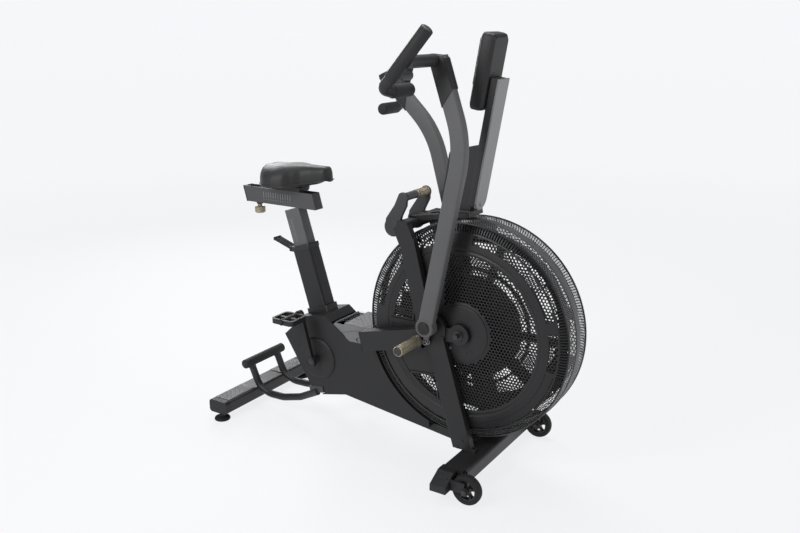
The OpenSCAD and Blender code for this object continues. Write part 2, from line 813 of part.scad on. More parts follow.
module console_screen() color([0.05, 0.06, 0.07]) console_frame() {
    translate([-console_t / 2 + 0.4, -console_w / 2 + 10.3, 70.3])
        cube([1.8, console_w - 20.6, console_h - 90.6]);
}

left_lean = right_lean - arm_split;

rear_stabilizer();
rear_end_caps();
rear_treads();
levelling_foot(-1);  // levelling_foot_right
levelling_foot(1);  // levelling_foot_left
front_stabilizer();
front_end_caps();
wheel(-1);  // wheel_right
wheel(1);  // wheel_left
wheel_axles();
rear_yoke();
frame_spine();
main_rail();
seat_tube();
step_housing();
side_frame_right();
mirror([0, 1, 0]) side_frame_right();  // side_frame_left
rod_cover();  // rod_cover_right
mirror([0, 1, 0]) rod_cover();  // rod_cover_left
top_bridge();
shroud(-1);  // shroud_right
shroud(1);  // shroud_left
foot_pegs();
arm_pivots();
cage_side();  // cage_right
mirror([0, 1, 0]) cage_side();  // cage_left
cage_band();
both_sides() hub_cover();  // hub_covers
fan_axle();
fan_rotor();
fan_pulley();
belt(0, fan_z, fan_pulley_r, jack_x, jack_z, jack_big_r, pulley_y);  // fan_belt
jack_shaft();
belt(-crank_x, crank_z, drive_r, jack_x, jack_z, jack_small_r, first_y);  // drive_belt
drive_pulley();
crank_axle();
crank_bearings();
crank_discs();
crank_arm(-1, crank_lean);  // crank_arm_right
crank_arm(1, crank_lean + 180);  // crank_arm_left
pedal(-1, crank_lean);  // pedal_right
pedal(1, crank_lean + 180);  // pedal_left
color(coat) arm_frame(right_lean) arm_shape();  // handle_arm_right
color(coat) arm_frame(left_lean) mirror([0, 1, 0]) arm_shape();  // handle_arm_left
color(black) arm_frame(right_lean) bar_shape();  // handlebar_right
color(black) arm_frame(left_lean) mirror([0, 1, 0]) bar_shape();  // handlebar_left
connecting_rod(right_lean);  // connecting_rod_right
mirror([0, 1, 0]) connecting_rod(left_lean);  // connecting_rod_left
rest_lever();
rest_grip();
seat_post();
seat_latch();
seat_beam();
seat_slider();
seat_knob();
saddle_pan();
saddle_cushion();
console_mast();
console();
console_screen();
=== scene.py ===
import math

import bmesh
import bpy
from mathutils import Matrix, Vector


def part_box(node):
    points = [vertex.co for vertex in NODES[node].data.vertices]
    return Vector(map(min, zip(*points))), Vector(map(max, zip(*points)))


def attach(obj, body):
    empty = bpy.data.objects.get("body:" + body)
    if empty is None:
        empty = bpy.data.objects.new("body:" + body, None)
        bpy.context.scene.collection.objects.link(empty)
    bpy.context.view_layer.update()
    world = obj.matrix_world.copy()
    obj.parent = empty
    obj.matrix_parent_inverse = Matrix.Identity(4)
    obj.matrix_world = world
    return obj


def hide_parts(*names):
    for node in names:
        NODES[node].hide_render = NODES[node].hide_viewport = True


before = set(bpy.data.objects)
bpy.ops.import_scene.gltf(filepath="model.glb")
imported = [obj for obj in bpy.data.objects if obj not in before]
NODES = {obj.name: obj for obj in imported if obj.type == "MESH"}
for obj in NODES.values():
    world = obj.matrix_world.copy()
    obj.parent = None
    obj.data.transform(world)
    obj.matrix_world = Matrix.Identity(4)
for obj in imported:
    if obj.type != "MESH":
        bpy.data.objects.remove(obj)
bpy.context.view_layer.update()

MM = 0.001
SIDES = {"right": -1, "left": 1}

# ---- node helpers ----


def node(owner, kind, **inputs):
    """A shader node of a material or the world, with some of its inputs set."""
    made = owner.node_tree.nodes.new(kind)
    for key, value in inputs.items():
        made.inputs[key].default_value = value
    return made


def link(owner, a, out, b, into):
    owner.node_tree.links.new(a.outputs[out], b.inputs[into])


# ---- camera and studio ----

CAMERA_AT = (1.193, -2.3091, 1.4036)
CAMERA_AZIMUTH = math.radians(32.56)
CAMERA_PITCH = math.radians(15.97)
CAMERA_LENS = 38.7
HORIZON = (0.925, 0.932, 0.955, 1)
NEAR_FLOOR = (0.80, 0.805, 0.82, 1)
FAR_FLOOR = (0.88, 0.887, 0.905, 1)
OVERHEAD = (0.16, 0.165, 0.175, 1)
FLOOR_HALF = 60
FLOOR_FADE = (0.8, 6.5)
SKY_FADE = (0.06, 0.22)


def make_camera():
    data = bpy.data.cameras.new("camera")
    data.lens = CAMERA_LENS
    data.sensor_width = 36
    camera = bpy.data.objects.new("camera", data)
    camera.location = CAMERA_AT
    camera.rotation_euler = (math.pi / 2 - CAMERA_PITCH, 0, CAMERA_AZIMUTH)
    bpy.context.collection.objects.link(camera)
    bpy.context.scene.camera = camera


def area_light(name, at, target, size, power):
    data = bpy.data.lights.new(name, "AREA")
    data.shape = "RECTANGLE"
    data.size, data.size_y = size
    data.energy = power
    light = bpy.data.objects.new(name, data)
    light.location = at
    light.rotation_euler = (Vector(target) - Vector(at)).to_track_quat("-Z", "Y").to_euler()
    bpy.context.collection.objects.link(light)


def make_world():
    world = bpy.data.worlds.new("studio")
    bpy.context.scene.world = world
    world.use_nodes = True
    back = world.node_tree.nodes["Background"]
    place = node(world, "ShaderNodeTexCoord")
    split = node(world, "ShaderNodeSeparateXYZ")
    ramp = node(world, "ShaderNodeValToRGB")
    link(world, place, "Generated", split, "Vector")
    link(world, split, "Z", ramp, "Fac")
    link(world, ramp, "Color", back, "Color")
    stops = ramp.color_ramp.elements
    stops[0].position, stops[0].color = SKY_FADE[0], HORIZON
    stops[1].position, stops[1].color = SKY_FADE[1], OVERHEAD
    bpy.context.scene.view_settings.view_transform = "Standard"


def make_floor():
    half = FLOOR_HALF
    corners = [(-half, -half, 0), (half, -half, 0), (half, half, 0), (-half, half, 0)]
    mesh = bpy.data.meshes.new("floor")
    mesh.from_pydata(corners, [], [(0, 1, 2, 3)])
    floor = bpy.data.objects.new("floor", mesh)
    material = bpy.data.materials.new("floor_white")
    material.use_nodes = True
    shader = material.node_tree.nodes["Principled BSDF"]
    shader.inputs["Base Color"].default_value = (0.1, 0.1, 0.1, 1)
    shader.inputs["Roughness"].default_value = 0.7
    shader.inputs["Specular IOR Level"].default_value = 0.2
    shader.inputs["Emission Strength"].default_value = 1.0
    place = node(material, "ShaderNodeTexCoord")
    reach = node(material, "ShaderNodeVectorMath")
    reach.operation = "LENGTH"
    ramp = node(material, "ShaderNodeValToRGB")
    near, far = ramp.color_ramp.elements
    near.position, near.color = 0.0, NEAR_FLOOR
    far.position, far.color = 1.0, FAR_FLOOR
    span = node(material, "ShaderNodeMapRange")
    span.inputs["From Min"].default_value = FLOOR_FADE[0]
    span.inputs["From Max"].default_value = FLOOR_FADE[1]
    link(material, place, "Object", reach, 0)
    link(material, reach, "Value", span, "Value")
    link(material, span, "Result", ramp, "Fac")
    link(material, ramp, "Color", shader, "Emission Color")
    mesh.materials.append(material)
    bpy.context.collection.objects.link(floor)


make_camera()
make_world()
make_floor()
area_light("key", (-1.0, -2.8, 2.3), (-0.3, 0, 0.8), (1.0, 1.6), 70)
area_light("top", (-0.4, 0.5, 2.9), (-0.3, 0, 0.5), (2.0, 1.2), 45)
area_light("front", (2.8, 0.4, 1.5), (0, 0, 0.9), (0.8, 1.8), 22)
area_light("back", (-2.6, 1.6, 1.9), (-0.3, 0, 0.7), (0.8, 1.6), 35)

# ---- materials ----

PATCH_SHADE = 0.14
# Colour of the paler convex edges: rubbed wear, and a painted edge highlight.
WORN_AND_LIT_EDGE = (0.28, 0.28, 0.29, 1)


def bump_from(material, shader, source, out, strength, distance):
    bump = node(material, "ShaderNodeBump", Strength=strength, Distance=distance)
    link(material, source, out, bump, "Height")
    link(material, bump, "Normal", shader, "Normal")


def new_material(name, colour, roughness, metallic=0.0):
    material = bpy.data.materials.new(name)
    material.use_nodes = True
    shader = material.node_tree.nodes["Principled BSDF"]
    shader.inputs["Base Color"].default_value = (*colour, 1)
    shader.inputs["Roughness"].default_value = roughness
    shader.inputs["Metallic"].default_value = metallic
    return material


def grained(name, colour, roughness, grain, depth, metallic=0.0, spread=0.25, edge_wear_and_highlight=0.0, specular=0.32):
    """A coat with a fine bump, patches of other gloss and shade, and paler convex edges: rubbed wear, and a
    painted edge highlight.
    """
    material = new_material(name, colour, roughness, metallic)
    shader = material.node_tree.nodes["Principled BSDF"]
    shader.inputs["Specular IOR Level"].default_value = specular
    place = node(material, "ShaderNodeTexCoord")
    fine = node(material, "ShaderNodeTexNoise", Scale=grain, Detail=3.0, Roughness=0.6)
    patch = node(material, "ShaderNodeTexNoise", Scale=9.0, Detail=4.0, Roughness=0.55)
    link(material, place, "Object", fine, "Vector")
    link(material, place, "Object", patch, "Vector")
    bump_from(material, shader, fine, "Fac", depth, 0.0004)
    rough = node(material, "ShaderNodeMapRange")
    rough.inputs["To Min"].default_value = roughness * (1 - spread)
    rough.inputs["To Max"].default_value = min(1.0, roughness * (1 + spread))
    link(material, patch, "Fac", rough, "Value")
    link(material, rough, "Result", shader, "Roughness")
    shade = node(material, "ShaderNodeMix")
    shade.data_type = "RGBA"
    shade.inputs["A"].default_value = (*[c * (1 - PATCH_SHADE) for c in colour], 1)
    shade.inputs["B"].default_value = (*[min(1.0, c * (1 + PATCH_SHADE)) for c in colour], 1)
    link(material, patch, "Fac", shade, "Factor")
    if edge_wear_and_highlight:
        # Convex edges painted paler by pointiness: rubbed wear, and a painted edge highlight.
        shape = node(material, "ShaderNodeNewGeometry")
        edge = node(material, "ShaderNodeMapRange")
        edge.inputs["From Min"].default_value = 0.53
        edge.inputs["From Max"].default_value = 0.62
        edge.inputs["To Max"].default_value = edge_wear_and_highlight
        link(material, shape, "Pointiness", edge, "Value")
        worn_lit_edge_mix = node(material, "ShaderNodeMix")
        worn_lit_edge_mix.data_type = "RGBA"
        worn_lit_edge_mix.inputs["B"].default_value = WORN_AND_LIT_EDGE
        link(material, edge, "Result", worn_lit_edge_mix, "Factor")
        link(material, shade, "Result", worn_lit_edge_mix, "A")
        shade = worn_lit_edge_mix
    link(material, shade, "Result", shader, "Base Color")
    return material


def ribbed(name, colour, roughness, scale, depth, metallic=0.0):
    """Fine crossed ridges, as on a knurled or moulded grip."""
    material = grained(name, colour, roughness, 700, 0.15, metallic)
    shader = material.node_tree.nodes["Principled BSDF"]
    place = node(material, "ShaderNodeTexCoord")
    heights = []
    for turn in (math.pi / 4, -math.pi / 4):
        spin = node(material, "ShaderNodeMapping")
        spin.inputs["Rotation"].default_value = (turn, turn, 0)
        link(material, place, "Object", spin, "Vector")
        wave = node(material, "ShaderNodeTexWave", Scale=scale)
        link(material, spin, "Vector", wave, "Vector")
        heights.append(wave)
    total = node(material, "ShaderNodeMath")
    total.operation = "ADD"
    link(material, heights[0], "Fac", total, 0)
    link(material, heights[1], "Fac", total, 1)
    bump_from(material, shader, total, 0, depth, 0.0008)
    return material


def leather(name, colour):
    """A synthetic saddle cover with pebbled grain."""
    material = grained(name, colour, 0.52, 260, 0.1)
    shader = material.node_tree.nodes["Principled BSDF"]
    place = node(material, "ShaderNodeTexCoord")
    cells = node(material, "ShaderNodeTexVoronoi", Scale=420.0)
    cells.feature = "SMOOTH_F1"
    link(material, place, "Object", cells, "Vector")
    bump_from(material, shader, cells, "Distance", 0.35, 0.0006)
    shader.inputs["Sheen Weight"].default_value = 0.12
    shader.inputs["Sheen Roughness"].default_value = 0.5
    return material


# Where a coat is given an edge amount, it sets how far its convex edges are painted paler: rubbed wear, and a
# painted edge highlight.
M = {
    "coat": grained("powder_black", (0.014, 0.014, 0.015), 0.42, 1500, 0.35, edge_wear_and_highlight=0.16),
    "grey_coat": grained("powder_charcoal", (0.085, 0.085, 0.087), 0.5, 1500, 0.3, edge_wear_and_highlight=0.2),
    "plastic": grained("moulded_black", (0.014, 0.014, 0.015), 0.48, 1100, 0.4, edge_wear_and_highlight=0.05),
    "gloss": grained("moulded_shiny", (0.02, 0.02, 0.022), 0.28, 900, 0.1),
    "rubber": grained("tyre_rubber", (0.012, 0.012, 0.012), 0.75, 800, 0.4),
    "grip": grained("grip_foam", (0.016, 0.016, 0.017), 0.68, 1300, 0.6),
    "khaki": ribbed("khaki_knurl", (0.33, 0.29, 0.21), 0.42, 150, 0.6, metallic=0.75),
    "steel": grained("machined_steel", (0.42, 0.42, 0.44), 0.3, 500, 0.12, metallic=1.0),
    "tread": grained("pale_coat", (0.15, 0.15, 0.155), 0.5, 900, 0.4, edge_wear_and_highlight=0.3),
    "guard": grained("guard_black", (0.014, 0.014, 0.015), 0.42, 1300, 0.3),
    "rim": grained("rim_mesh", (0.15, 0.15, 0.153), 0.4, 1300, 0.2, specular=0.5),
    "rotor": grained("blade_black", (0.006, 0.006, 0.007), 0.6, 900, 0.3),
    "saddle": leather("saddle_cover", (0.014, 0.014, 0.015)),
    "screen": grained("screen_glass", (0.006, 0.007, 0.008), 0.08, 60, 0.01),
    "mark": grained("printed_mark", (0.20, 0.20, 0.205), 0.6, 900, 0.1),
    # Paler grey for the mast's front plate: partly its own lighter coat, partly a painted highlight of the
    # front light on that face.
    "mast": grained("mast_front_coat_and_highlight", (0.16, 0.16, 0.163), 0.34, 1500, 0.3, edge_wear_and_highlight=0.2, specular=0.6),
    "lever": grained("lever_coat", (0.035, 0.035, 0.037), 0.45, 1300, 0.3, edge_wear_and_highlight=0.2),
    "keys": grained("key_rubber", (0.10, 0.10, 0.105), 0.6, 900, 0.2),
    "bolt": grained("black_bolt", (0.05, 0.05, 0.052), 0.35, 700, 0.15, metallic=0.6),
}

# ---- mesh helpers; every position is in mm ----


def add_piece(name, body, slot, verts, faces, material, replaces=(), smooth=30.0, bevel=0.0, segments=2):
    mesh = bpy.data.meshes.new(name)
    mesh.from_pydata([Vector(v) * MM for v in verts], [], faces)
    work = bmesh.new()
    work.from_mesh(mesh)
    bmesh.ops.remove_doubles(work, verts=work.verts, dist=1e-6)
    bmesh.ops.recalc_face_normals(work, faces=work.faces)
    work.to_mesh(mesh)
    work.free()
    piece = bpy.data.objects.new(name, mesh)
    bpy.context.collection.objects.link(piece)
    mesh.materials.append(M[material])
    finish_surface(piece, smooth, bevel, segments)
    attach(piece, body)
    if replaces:
        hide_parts(*replaces)
    return piece


def round_edges(piece, width, segments, angle):
    rounding = piece.modifiers.new("rounding", "BEVEL")
    rounding.width = width * MM
    rounding.segments = segments
    rounding.limit_method = "ANGLE"
    rounding.angle_limit = math.radians(angle)
    rounding.harden_normals = True


def finish_surface(piece, smooth, bevel, segments):
    mesh = piece.data
    mesh.polygons.foreach_set("use_smooth", [True] * len(mesh.polygons))
    mesh.set_sharp_from_angle(angle=math.radians(smooth))
    if bevel:
        round_edges(piece, bevel, segments, 32)


def polish(name, material, bevel, segments):
    """A CAD node that keeps its shape, with its material and slightly rounded edges."""
    piece = NODES[name]
    piece.data.materials.clear()
    piece.data.materials.append(M[material])
    if bevel:
        weld = piece.modifiers.new("weld", "WELD")
        weld.merge_threshold = 1e-5
        round_edges(piece, bevel, segments, 35)


def draw_in(name, depth):
    """Pulls a CAD node's faces in a little, because some lie in one plane with a neighbour's."""
    shrink = NODES[name].modifiers.new("draw_in", "DISPLACE")
    shrink.mid_level = 0
    shrink.strength = -depth * MM


def joined(parts):
    verts, faces = [], []
    for part_verts, part_faces in parts:
        base = len(verts)
        verts.extend(part_verts)
        faces.extend([tuple(i + base for i in face) for face in part_faces])
    return verts, faces


def placed(part, place):
    """A part with every point moved by a function."""
    verts, faces = part
    return [place(*v) for v in verts], faces


def bands(rows, count, around=False):
    """The quads between rows of points. With around, the last row meets the first."""
    faces = []
    for i in range(rows if around else rows - 1):
        j = (i + 1) % rows
        for k in range(count):
            m = (k + 1) % count
            faces.append((i * count + k, i * count + m, j * count + m, j * count + k))
    return faces


def end_faces(rows, count):
    return [tuple(reversed(range(count))), tuple(range((rows - 1) * count, rows * count))]


def mirrored(part):
    verts, faces = part
    return [(x, -y, z) for x, y, z in verts], [tuple(reversed(face)) for face in faces]


def lathe(profile, centre, axis="y", steps=48):
    """Turns (radius, height) points about an axis through the centre.

    The profile closes on itself, or on the axis if both its ends lie there.
    """
    verts, faces = [], []
    count = len(profile)
    for i in range(steps):
        a = 2 * math.pi * i / steps
        for r, h in profile:
            u, v = r * math.cos(a), r * math.sin(a)
            local = {"y": (u, h, v), "z": (u, v, h), "x": (h, u, v)}[axis]
            verts.append(tuple(c + d for c, d in zip(centre, local)))
    open_ended = profile[0][0] == 0 and profile[-1][0] == 0
    spans = count - 1 if open_ended else count
    for i in range(steps):
        j = (i + 1) % steps
        for k in range(spans):
            m = (k + 1) % count
            faces.append((i * count + k, j * count + k, j * count + m, i * count + m))
    return verts, faces


def filleted(points, radius, steps=8):
    """A polyline with its inner corners rounded off."""
    points = [Vector(p) for p in points]
    out = [points[0]]
    for before, at, after in zip(points, points[1:], points[2:]):
        a, b = (before - at).normalized(), (after - at).normalized()
        half = a.angle(b) / 2
        if half > math.radians(89):
            out.append(at)
            continue
        reach = min(radius / math.tan(half), (before - at).length * 0.48, (after - at).length * 0.48)
        start, end = at + a * reach, at + b * reach
        for i in range(steps + 1):
            t = i / steps
            out.append(start * (1 - t) ** 2 + at * 2 * t * (1 - t) + end * t ** 2)
    out.append(points[-1])
    return out


def rounded_section(width, height, radius, steps=4):
    out = []
    for k, (sx, sy) in enumerate(((1, 1), (-1, 1), (-1, -1), (1, -1))):
        cx, cy = sx * (width / 2 - radius), sy * (height / 2 - radius)
        for i in range(steps + 1):
            a = math.pi / 2 * (k + i / steps)
            out.append((cx + radius * math.cos(a), cy + radius * math.sin(a)))
    return out


def round_section(radius, steps=24):
    angles = [2 * math.pi * i / steps for i in range(steps)]
    return [(radius * math.cos(a), radius * math.sin(a)) for a in angles]


def sweep(path, section, across=(0, 1, 0), scales=None):
    """Moves a section along a path. Its first coordinate runs along `across`, its second square to both."""
    path = [Vector(p) for p in path]
    across = Vector(across)
    verts = []
    for i, at in enumerate(path):
        ahead = (path[min(i + 1, len(path) - 1)] - path[max(i - 1, 0)]).normalized()
        u = (across - ahead * across.dot(ahead)).normalized()
        w = ahead.cross(u)
        size = scales[i] if scales else 1
        for s, t in section:
            verts.append(tuple(at + u * s * size + w * t * size))
        across = u
    return verts, bands(len(path), len(section)) + end_faces(len(path), len(section))


DOME_ROWS = 5
DOME_CUT = 0.62


def tube(path, radius, steps=24, dome=0.0):
    """A round tube. A dome above 0 rounds its ends over that length."""
    path = [Vector(p) for p in path]
    scales = [1.0] * len(path)
    if dome:
        head, tail = (path[0] - path[1]).normalized(), (path[-1] - path[-2]).normalized()
        steps_in = [i / DOME_ROWS for i in range(DOME_ROWS)]
        narrow = [math.sqrt(1 - (1 - t) ** 2 * DOME_CUT) for t in steps_in]
        first = [path[0] - head * dome * t for t in steps_in + [1]]
        last = [path[-1] - tail * dome * t for t in [1] + steps_in[::-1]]
        path = first + path[1:-1] + last
        scales = narrow + [1.0] * (len(path) - 2 * DOME_ROWS) + narrow[::-1]
    side = (0, 1, 0)
    if abs((path[1] - path[0]).normalized().y) > 0.9:
        side = (0, 0, 1)
    return sweep(path, round_section(radius, steps), side, scales)


def prism(outline, low, high):
    """An outline between two faces. low and high each turn an outline point into a place."""
    count = len(outline)
    verts = [low(u, v) for u, v in outline] + [high(u, v) for u, v in outline]
    faces = [tuple(range(count)), tuple(reversed(range(count, 2 * count)))]
    faces += [(i, i + count, (i + 1) % count + count, (i + 1) % count) for i in range(count)]
    return verts, faces


def plate(outline, y0, y1):
    """An outline of (x, z) points with thickness along Y."""
    return prism(outline, lambda x, z: (x, y0, z), lambda x, z: (x, y1, z))


def block(low, high):
    (x0, y0, z0), (x1, y1, z1) = low, high
    return plate([(x0, z0), (x1, z0), (x1, z1), (x0, z1)], y0, y1)


def arc(cx, cz, r, start, end, steps):
    angles = [math.radians(start + (end - start) * i / steps) for i in range(steps + 1)]
    return [(cx + r * math.cos(a), cz + r * math.sin(a)) for a in angles]


def bolt(at, radius, axis="y", sign=1, height=5.0):
    """A button head with a round recess, standing out of a face along an axis."""
    h = height * sign
    profile = [(0, 0), (radius, 0), (radius, h * 0.35), (radius * 0.86, h * 0.8), (radius * 0.6, h),
               (radius * 0.5, h), (radius * 0.45, h * 0.4), (0, h * 0.4)]
    return lathe(profile, at, axis, 24)


# ---- the guard ----

FAN_Z = 466
GUARD_R = 350
GUARD_HALF = 66
FACE_Y = 85
FLAT_R = 280
EDGE_R = 338
EDGE_Y = 75
SKIN = 1.5


def face_depth(r):
    """How far the side face stands out at a radius."""
    if r <= FLAT_R:
        return FACE_Y - SKIN
    if r <= EDGE_R:
        return FACE_Y - SKIN - (FACE_Y - EDGE_Y) * (r - FLAT_R) / (EDGE_R - FLAT_R)
    return EDGE_Y - SKIN - (EDGE_Y - GUARD_HALF) * (r - EDGE_R) / (GUARD_R - 1 - EDGE_R)


def hexagon_sheet(cells, pitch, hole, place):
    """Hexagon cells that share their corners. An open cell has a round hole."""
    verts, index, faces = [], {}, []

    def corner(u, v):
        key = (round(u, 2), round(v, 2))
        if key not in index:
            index[key] = len(verts)
            verts.append(place(u, v))
        return index[key]

    for u, v, is_open in cells:
        outer = []
        for k in range(12):
            a = math.radians(30 * k)
            r = pitch / 2 if k % 2 == 0 else pitch / math.sqrt(3)
            outer.append(corner(u + r * math.cos(a), v + r * math.sin(a)))
        if not is_open:
            faces.append(tuple(outer))
            continue
        inner = []
        for k in range(12):
            a = math.radians(30 * k)
            inner.append(len(verts))
            verts.append(place(u + hole * math.cos(a), v + hole * math.sin(a)))
        for k in range(12):
            m = (k + 1) % 12
            faces.append((outer[k], outer[m], inner[m], inner[k]))
    return verts, faces


PITCH = 11.0
HOLE = 4.1
PANEL_IN = 84
PANEL_OUT = 321
# Perforated bands: from radius, to radius, and the angles in degrees between which they are open.
OPEN_BANDS = (
    (290, 318, ((17.5, 84), (110, 172), (-13, 10.5))),
    (318, PANEL_OUT, ((-78, -15), (-165, -100))),
)


def panel_open(x, z):
    """Whether the side face of the guard is perforated at a point about the fan axle."""
    r = math.hypot(x, z)
    turn = math.degrees(math.atan2(z, x))
    if 100 < r < 254:
        # All of it in front of the side frame, and behind that a window above and one below.
        if x > -62:
            return True
        if x < -172 and z > 12:
            return r < 250
        return z < -162 + 0.17 * (x + 114) and x < -84
    return any(low <= r < high and any(a < turn < b for a, b in spans) for low, high, spans in OPEN_BANDS)


def guard_panel():
    cells = []
    rise = PITCH * math.sqrt(3) / 2
    for row in range(-37, 38):
        for col in range(-32, 33):
            x = (col + 0.5 * (row % 2)) * PITCH
            z = row * rise
            if PANEL_IN < math.hypot(x, z) < PANEL_OUT:
                cells.append((x, z, panel_open(x, z)))
    return hexagon_sheet(cells, PITCH, HOLE, lambda u, v: (u, -face_depth(math.hypot(u, v)), FAN_Z + v))


def ring(profile, start=0.0, end=360.0, steps=144):
    """A closed (radius, distance out) section carried round the fan axle on the right-hand side."""
    whole = end - start >= 360
    rows = steps if whole else steps + 1
    verts = []
    for i in range(rows):
        a = math.radians(start + (end - start) * i / steps)
        for r, out in profile:
            verts.append((r * math.cos(a), -out, FAN_Z + r * math.sin(a)))
    faces = bands(rows, len(profile), whole)
    if not whole:
        faces += end_faces(rows, len(profile))
    return verts, faces


LIP_WIDTH = 7
LIP_THICK = 4


def window_lip(outline):
    """A raised lip along a closed outline of (x, z) points about the fan axle."""
    path = [(x, -FACE_Y - 0.2, FAN_Z + z) for x, z in outline]
    path.append(path[0])
    return sweep(path, rounded_section(LIP_THICK, LIP_WIDTH, 0.8, 2))


def guard_trim():
    y = FACE_Y
    parts = [
        ring([(254, y - 3), (254, y), (262, y + 1.5), (266, y - 0.5), (270, y - 0.5), (274, y + 1.8),
              (282, y + 0.8), (291, y - 0.5), (291, y - 3.5)]),
        ring([(318, 76.5), (318, 79.5), (320, 80), (323.5, 78.8), (323.5, 75.5)]),
        ring([(344, 64.5), (344.5, 69.5), (347, 70.5), (349.5, 67), (349.5, 62), (346, 62)]),
        ring([(86, y - 3), (86, y + 0.6), (96, y + 0.6), (99, y - 0.8), (99, y - 3)]),
    ]
    for start, end in ((10.8, 17.2), (84.5, 109.5), (-14.5, -12.2), (172, 196)):
        parts.append(ring([(289, y - 4), (289, y - 0.4), (320, 79.6), (320, 76)], start, end, 12))
    parts.append(window_lip(arc(0, 0, 251, 133, 177, 16) + [(-176, 12)]))
    parts.append(window_lip(arc(0, 0, 252, -138, -109, 12) + [(-84, -158)]))
    bar = [(-262, -8), (-262, 8), (-150, 8), (-150, -8)]
    parts.append(plate([(x, FAN_Z + z) for x, z in bar], -y - 3.5, -y + 3))
    return joined(parts)


LOUVRES = 148
LOUVRE_FROM = -13
LOUVRE_STEP = 1.48
LOUVRE_HALF = 1.6
LOUVRE_DEEP = 3
# (radius, distance out) points along a louvre.
LOUVRE_PATH = ((323, 78), (337, 75.5), (347, 67.5))


def guard_slats():
    """The louvres between the side face and the rim."""
    parts = []
    for i in range(LOUVRES):
        a = math.radians(LOUVRE_FROM + LOUVRE_STEP * i)
        c, s = math.cos(a), math.sin(a)
        points = []
        for r, out in LOUVRE_PATH:
            for across, depth in ((-1, 0), (1, 0), (1, LOUVRE_DEEP), (-1, LOUVRE_DEEP)):
                w = across * LOUVRE_HALF
                points.append((r * c + w * s, -out + depth, FAN_Z + r * s - w * c))
        parts.append((points, bands(3, 4) + end_faces(3, 4)))
    return joined(parts)


def open_cells(rows, columns, pitch):
    """Staggered rows of cells, all of them open."""
    rise = pitch * math.sqrt(3) / 2
    cells = []
    for row in range(rows):
        for col in range(columns):
            cells.append(((col + 0.5 * (row % 2)) * pitch, row * rise, True))
    return cells


EDGE_PITCH = 7.0
EDGE_HOLE = 3.0
EDGE_FROM = -154


def guard_edge_mesh():
    """The fine mesh that takes the louvres' place low on the guard."""
    columns = int(math.radians(LOUVRE_FROM - EDGE_FROM) * EDGE_R / EDGE_PITCH)

    def place(u, v):
        a = math.radians(EDGE_FROM) + u / EDGE_R
        r = 324 + v
        return (r * math.cos(a), -face_depth(r), FAN_Z + r * math.sin(a))

    return hexagon_sheet(open_cells(4, columns, EDGE_PITCH), EDGE_PITCH, EDGE_HOLE, place)


RIM_PITCH = 7.4
RIM_HOLE = 3.36
HOOP_HALF = 14


def guard_rim():
    """The fine mesh round the rim on one side of the hoop."""
    columns = round(2 * math.pi * GUARD_R / RIM_PITCH)
    pitch = 2 * math.pi * GUARD_R / columns

    def place(u, v):
        a = u / GUARD_R
        bulge = GUARD_R - 2.5 + 2.0 * math.cos(math.pi / 2 * min(1, max(0, v) / 52))
        return (bulge * math.cos(a), -HOOP_HALF - 2 - v, FAN_Z + bulge * math.sin(a))

    return hexagon_sheet(open_cells(8, columns, pitch), pitch, RIM_HOLE, place)


def thicken(piece, thickness):
    solid = piece.modifiers.new("thickness", "SOLIDIFY")
    solid.thickness = thickness * MM
    solid.offset = -1


def make_guard():
    panel, trim, slats = guard_panel(), guard_trim(), guard_slats()
    edge, rim = guard_edge_mesh(), guard_rim()
    for side in SIDES:
        def sided(part):
            return part if side == "right" else mirrored(part)
        sheet = add_piece("guard_panel_" + side, "frame", "guard", *sided(panel), "guard", ("cage_" + side,))
        thicken(sheet, 1.6)
        add_piece("guard_trim_" + side, "frame", "guard", *sided(trim), "guard", bevel=0.6)
        add_piece("guard_slats_" + side, "frame", "guard", *sided(slats), "guard")
        fine = add_piece("guard_edge_mesh_" + side, "frame", "guard", *sided(edge), "guard")
        thicken(fine, 1.2)
        around = add_piece("guard_rim_" + side, "frame", "guard", *sided(rim), "rim", ("cage_band",))
        thicken(around, 0.9)
    h = HOOP_HALF
    hoop = ring([(347, -h), (351.2, -h), (351.8, 3 - h), (351.2, 0), (351.8, h - 3), (351.2, h), (347, h)],
                steps=180)
    add_piece("guard_hoop", "frame", "guard", *hoop, "grey_coat")


make_guard()

# ---- the swinging arms ----

PIVOT = (-90, 490)
ARM_Y = 150
BEND_R = 300
BEND = math.radians(30.2)
STRAIGHT = 581 - BEND_R * math.tan(BEND / 2)
TOP_RUN = 259 - BEND_R * math.tan(BEND / 2)
ROD_DROP = 60
LEANS = {"right": math.radians(11.6), "left": math.radians(-15.4)}


def on_arm(side, x, y, z):
    """A point of the arm's own frame, which stands on the pivot, in the part's frame."""
    lean = LEANS[side]
    return (PIVOT[0] + x * math.cos(lean) + z * math.sin(lean), SIDES[side] * y,
            PIVOT[1] - x * math.sin(lean) + z * math.cos(lean))


def arm_centre():
    points = [(0, -6), (0, 60), (0, 240), (0, STRAIGHT)]
    for i in range(1, 15):
        a = BEND * i / 14
        points.append((-BEND_R + BEND_R * math.cos(a), STRAIGHT + BEND_R * math.sin(a)))
    x, z = points[-1]
    points.append((x - TOP_RUN * math.sin(BEND), z + TOP_RUN * math.cos(BEND)))
    return points


ARM_TOP = arm_centre()[-1]
BAR_Y = 300
BAR_R = 17.6
BAR_HIGH = (ARM_TOP[0] + 35, BAR_Y, ARM_TOP[1] + 89)
BAR_LOW = (ARM_TOP[0] - 69, BAR_Y, ARM_TOP[1] - 95)


